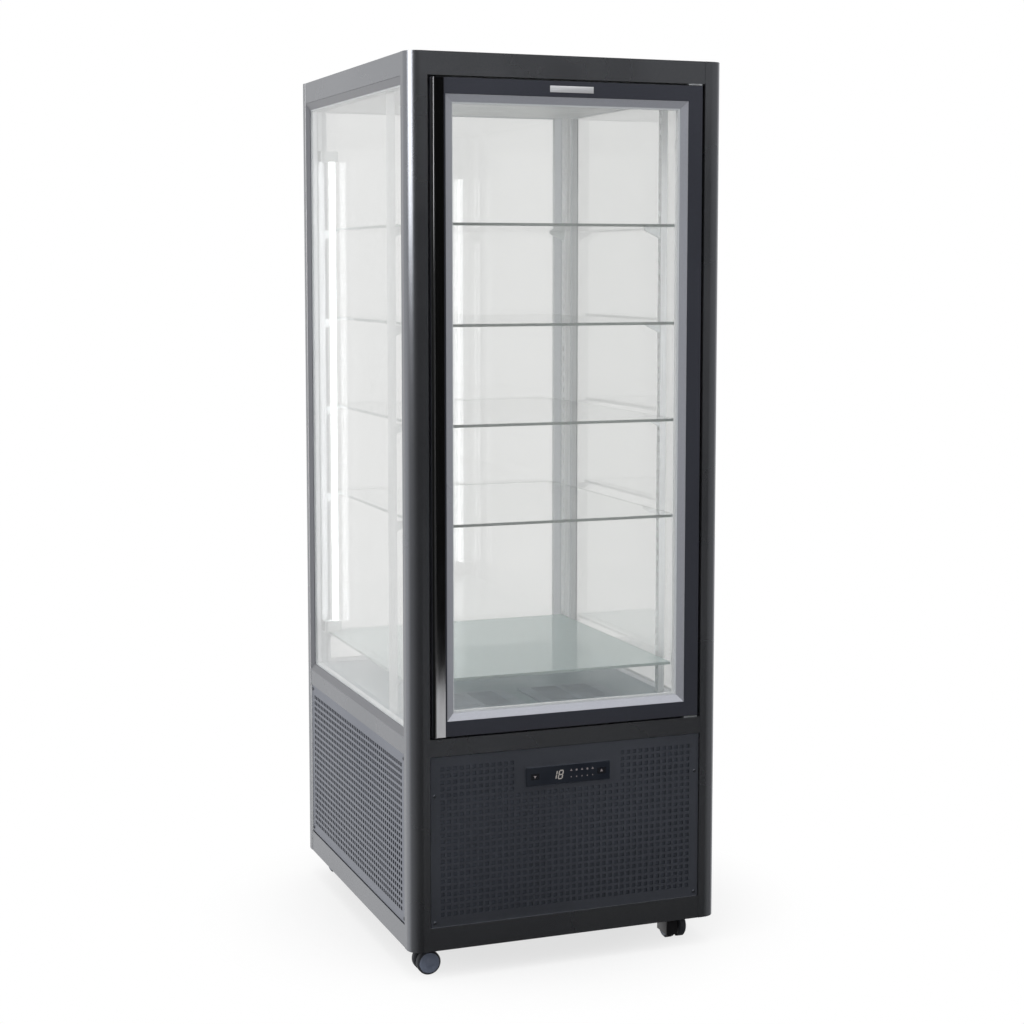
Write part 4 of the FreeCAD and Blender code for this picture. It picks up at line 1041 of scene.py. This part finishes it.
@dataclass
class Casters(SubAssembly):
    """Four swivel casters with twin wheels, hub caps on their outer faces and a guard at the right front one."""

    cap_radius: float = 0.0212
    cap_height: float = 0.0014
    cap_sunk: float = 0.0004
    cap_bevel: float = 0.0015
    cap_wall: float = 0.4
    cap_dish: Flat = (0.6, 0.7)
    cap_facets: int = 48
    hub_radius: float = 0.0075
    hub_slope: float = 0.001
    hub_foot: float = 0.6
    disc_thickness: float = 0.004
    guard_gap: float = 0.0022
    guard_wall: float = 0.0033
    guard_foot: float = 0.011
    guard_edge: float = 0.0006
    guard_clear: float = 0.003
    guard_rear: float = 0.006
    notch: float = 0.0035
    notch_slope: float = 0.15
    notch_starts: Flat = (0.4, 0.68)

    covers: ClassVar[Covers] = {
        Finishes.ZINC: ("caster_plates",),
        Finishes.BLACK_STEEL: tuple(f"caster_yoke_{corner}" for corner in CORNERS),
        Finishes.TYRE: tuple(f"caster_wheel_{corner}" for corner in CORNERS),
    }

    def build(self) -> list[Piece]:
        """Make the hub caps of each caster and the wheel guard and give them."""
        wheels = [body for body in Body if body.value.startswith("caster_wheel")]
        return [*(self.caps(body) for body in wheels), self.guard()]

    def guard(self) -> Piece:
        """Make the black guard over the outer wheel of the right front caster and give it."""
        low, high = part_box("caster_wheel_front_right")
        middle = (low.x + high.x) / 2
        wall, notch, foot = self.guard_wall, self.notch, self.guard_foot
        left = low.x - self.guard_gap - wall
        front = low.y - wall
        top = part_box("caster_yoke_front_right")[1].z - self.disc_thickness
        wide = middle - self.guard_clear - left
        starts = [share * wide for share in self.notch_starts]
        outline = [(0.0, top), (0.0, foot + notch), (notch, foot), (starts[0], foot)]
        for start in starts:
            outline += [(start + self.notch_slope * notch, foot + notch),
                        (start + (1 - self.notch_slope) * notch, foot + notch), (start + notch, foot)]
        outline += [(wide, foot), (wide, top)]
        shape = Shape()
        turn = Matrix.Translation((left, front, 0.0)) @ Matrix.Rotation(math.pi / 2, 4, "X")
        shape.prism(outline, wall, turn)
        shape.block((left, front - wall, foot + notch),
                    (left + wall, high.y - self.guard_rear, top - self.guard_clear), self.guard_edge)
        return shape.finish("wheel_guard", Finishes.BLACK_STEEL, Body.YOKE_FRONT_RIGHT, "black_steel")

    def caps(self, body: Body) -> Piece:
        """Make the two hub caps of a caster.

        Args:
            body: the pair of wheels that they sit on.

        Returns:
            The caps, as one piece.
        """
        low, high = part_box(body.value)
        middle = (low + high) / 2
        along_x = high.x - low.x < high.y - low.y
        sides = (Facing.LEFT, Facing.RIGHT) if along_x else (Facing.FRONT, Facing.REAR)
        reach = (high.x - low.x if along_x else high.y - low.y) / 2
        rim, crown, hub = self.cap_radius, self.cap_height, self.hub_radius
        dish_radius, dish_height = self.cap_dish
        profile = [(0.0, -self.cap_sunk), (rim, -self.cap_sunk), (rim, self.cap_wall * crown),
                   (rim - self.cap_bevel, crown), (dish_radius * rim, dish_height * crown),
                   (hub + self.hub_slope, self.hub_foot * crown), (hub, crown), (0.0, crown)]
        shape = Shape()
        for side in sides:
            turn = Matrix.Translation(middle + reach * Vector(side.value)) @ side.turn()
            shape.turned(profile, turn, self.cap_facets)
        corner = body.value.removeprefix("caster_wheel_")
        return shape.finish(f"hub_caps_{corner}", Finishes.HUB_CAP, body, "wheel_grey")


@dataclass(frozen=True)
class Reflection:
    """Pale patch of the studio's walls that shows in metal and other glossy surfaces."""

    side: Point
    start: float
    stop: float
    level: float

    def shine(self, graph: Graph, direction: Socket) -> Socket:
        """Give the patch's brightness.

        Args:
            graph: the tree that it is built in.
            direction: where the surface mirrors.

        Returns:
            Its brightness, none up to the starting cosine with the patch's side and full from the stopping one.
        """
        sockets = {0: direction, 1: self.side}
        near = graph.node("VectorMath", sockets, operation="DOT_PRODUCT").outputs["Value"]
        return graph.span(near, self.start, self.stop, 0.0, self.level)


@dataclass(frozen=True)
class Softbox:
    """Lamp behind a cloth, even in the middle share of its width and height and fading to its edges."""

    name: str
    place: Point
    target: Point
    size: Flat
    level: float
    even: float = 0.5

    def hang(self) -> None:
        """Add the lamp to the scene, with the light of an even box at its level, where 1 looks white."""
        mean = ((1 + self.even) / 2) ** 2
        lamp = bpy.data.lights.new(self.name, "AREA")
        lamp.shape = "RECTANGLE"
        lamp.size, lamp.size_y = self.size
        lamp.energy = self.level * math.pi * self.size[0] * self.size[1] / mean
        graph = Graph(lamp)
        sockets = {0: graph.node("NewGeometry").outputs["Parametric"], 1: (0.5, 0.5, 0.0)}
        offset = graph.node("VectorMath", sockets, operation="SUBTRACT").outputs[0]
        fades = [graph.span(graph.sums("ABSOLUTE", apart, 0.0), self.even / 2, 0.5, 1.0, 0.0)
                 for apart in graph.axes(offset)[:2]]
        sockets = {"Color": WHITE, "Strength": graph.sums("MULTIPLY", *fades)}
        graph.node("OutputLight", {"Surface": graph.node("Emission", sockets).outputs[0]})
        box = bpy.data.objects.new(self.name, lamp)
        box.location = self.place
        aim = Vector(self.target) - Vector(self.place)
        box.rotation_euler = aim.to_track_quat("-Z", "Y").to_euler()
        box.visible_camera = False
        bpy.context.scene.collection.objects.link(box)


@dataclass
class Studio:
    """White floor, soft light and the camera of the picture."""

    camera_place: Point = (-1.5178, -4.0859, 1.4445)
    camera_yaw: float = 20.7356
    camera_pitch: float = -5.3023
    camera_lens: float = 69.211
    camera_sensor: float = 36.0
    camera_shift: float = -0.0625
    bounces: int = 40
    fill: float = 0.7
    mirror_dark: float = 0.008
    floor_radius: float = 1.05
    floor_facets: int = 96
    floor_colour: Colour = (0.92, 0.92, 0.92)
    floor_white: float = 0.7
    floor_whiter: Flat = (0.3, 0.7)
    floor_fade: Flat = (0.6, 0.95)
    softboxes: tuple[Softbox, ...] = (
        Softbox("left_softbox", (-2.2, -1.07, 2.0), (-0.34, -0.38, 1.6), (1.8, 1.25), 3.4),
        Softbox("overhead_softbox", (-0.3, -0.2, 3.8), (0.0, 0.0, 0.0), (3.0, 3.0), 1.6),
    )
    reflections: tuple[Reflection, ...] = (
        # Broad wall at the left rear, with a brighter strip that the left side mirrors.
        Reflection((-0.5, 0.866, 0.0), -0.9, 0.7, 0.27),
        Reflection((-0.588, 0.809, 0.0), 0.5, 0.92, 0.56),
        # Faint wall at the right rear, and a pale strip at the right front for the rounded post.
        Reflection((0.866, 0.5, 0.0), 0.0, 0.9, 0.1),
        Reflection((0.866, -0.5, 0.0), 0.82, 0.95, 0.16),
        # Light from above the front, which the upper part of the front mirrors.
        Reflection((0.2198, -0.604, 0.766), 0.777, 0.93, 2.2),
        # Brighter strip of the wall at the right rear.
        Reflection((0.866, 0.5, 0.0), 0.86, 0.98, 0.5),
        # Small card low in front, which the handle's lower end mirrors.
        Reflection((0.3098, -0.9195, -0.2419), 0.99935, 0.9996, 1.0),
    )

    def build(self) -> None:
        """Set the view transform, the camera, the floor and the light."""
        scene = bpy.context.scene
        scene.view_settings.view_transform = "Standard"
        scene.cycles.max_bounces = self.bounces
        scene.cycles.transmission_bounces = self.bounces
        scene.cycles.transparent_max_bounces = self.bounces
        self.camera()
        self.floor()
        self.sky()
        for softbox in self.softboxes:
            softbox.hang()

    def camera(self) -> None:
        """Place the camera of the picture."""
        lens = bpy.data.cameras.new("picture_camera")
        lens.lens = self.camera_lens
        lens.sensor_width = self.camera_sensor
        lens.shift_y = self.camera_shift
        camera = bpy.data.objects.new("picture_camera", lens)
        camera.location = self.camera_place
        camera.rotation_euler = (math.radians(90 + self.camera_pitch), 0.0, math.radians(-self.camera_yaw))
        bpy.context.scene.collection.objects.link(camera)
        bpy.context.scene.camera = camera

    def floor(self) -> None:
        """Lay the white floor, which keeps the shadow near the freezer and fades out far from it."""
        bm = bmesh.new()
        bmesh.ops.create_circle(bm, cap_ends=True, segments=self.floor_facets, radius=self.floor_radius)
        mesh = bpy.data.meshes.new("studio_floor")
        bm.to_mesh(mesh)
        bm.free()
        material = bpy.data.materials.new("white_studio_floor")
        graph = Graph(material)
        radius = graph.node("VectorMath", {0: graph.place()}, operation="LENGTH").outputs["Value"]
        path = graph.node("LightPath").outputs
        looked_at = graph.sums("MAXIMUM", path["Is Camera Ray"], path["Is Transmission Ray"])
        matt = graph.node("BsdfDiffuse", {"Color": self.floor_colour}).outputs[0]
        white = graph.node("Emission", {"Color": WHITE, "Strength": looked_at}).outputs[0]
        start, stop = (share * self.floor_radius for share in self.floor_whiter)
        lit = graph.blend(graph.span(radius, start, stop, self.floor_white, 1.0), matt, white)
        start, stop = (share * self.floor_radius for share in self.floor_fade)
        clear = graph.node("BsdfTransparent").outputs[0]
        surface = graph.blend(graph.span(radius, start, stop, 0.0, 1.0), lit, clear)
        graph.node("OutputMaterial", {"Surface": surface})
        mesh.materials.append(material)
        floor = bpy.data.objects.new("studio_floor", mesh)
        floor.visible_glossy = False
        bpy.context.scene.collection.objects.link(floor)

    def sky(self) -> None:
        """Make the studio's walls: white to look at, dark with pale patches where metal mirrors them."""
        world = bpy.data.worlds.new("studio")
        bpy.context.scene.world = world
        graph = Graph(world)
        direction = graph.node("TexCoord").outputs["Generated"]
        mirrored: Socket | float = self.mirror_dark
        for patch in self.reflections:
            mirrored = graph.sums("ADD", patch.shine(graph, direction), mirrored)
        path = graph.node("LightPath").outputs
        sockets = {0: path["Is Glossy Ray"], 2: self.fill, 3: mirrored}
        level = graph.node("Mix", sockets, data_type="FLOAT").outputs[0]
        for looked_at in ("Is Camera Ray", "Is Transmission Ray"):
            level = graph.sums("MAXIMUM", level, path[looked_at])
        walls = graph.node("Background", {"Color": WHITE, "Strength": level}).outputs[0]
        graph.node("OutputWorld", {"Surface": walls})


def main() -> None:
    """Dress the freezer's sub-assemblies in order and set up the studio."""
    logging.basicConfig(level=logging.INFO, format="%(name)s: %(message)s")
    parts = [Carcass(), BasePanels(), Glazing(), Door(), Cabin(), ColdWell(), MachineRoom(), ControlPanel(),
             Casters()]
    for part in parts:
        part.dress()
        for piece in part.build():
            LOG.info("%s: %s rides on %s", type(part).__name__, piece.name, piece["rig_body"])
    Studio().build()


if __name__ == "__main__":
    main()
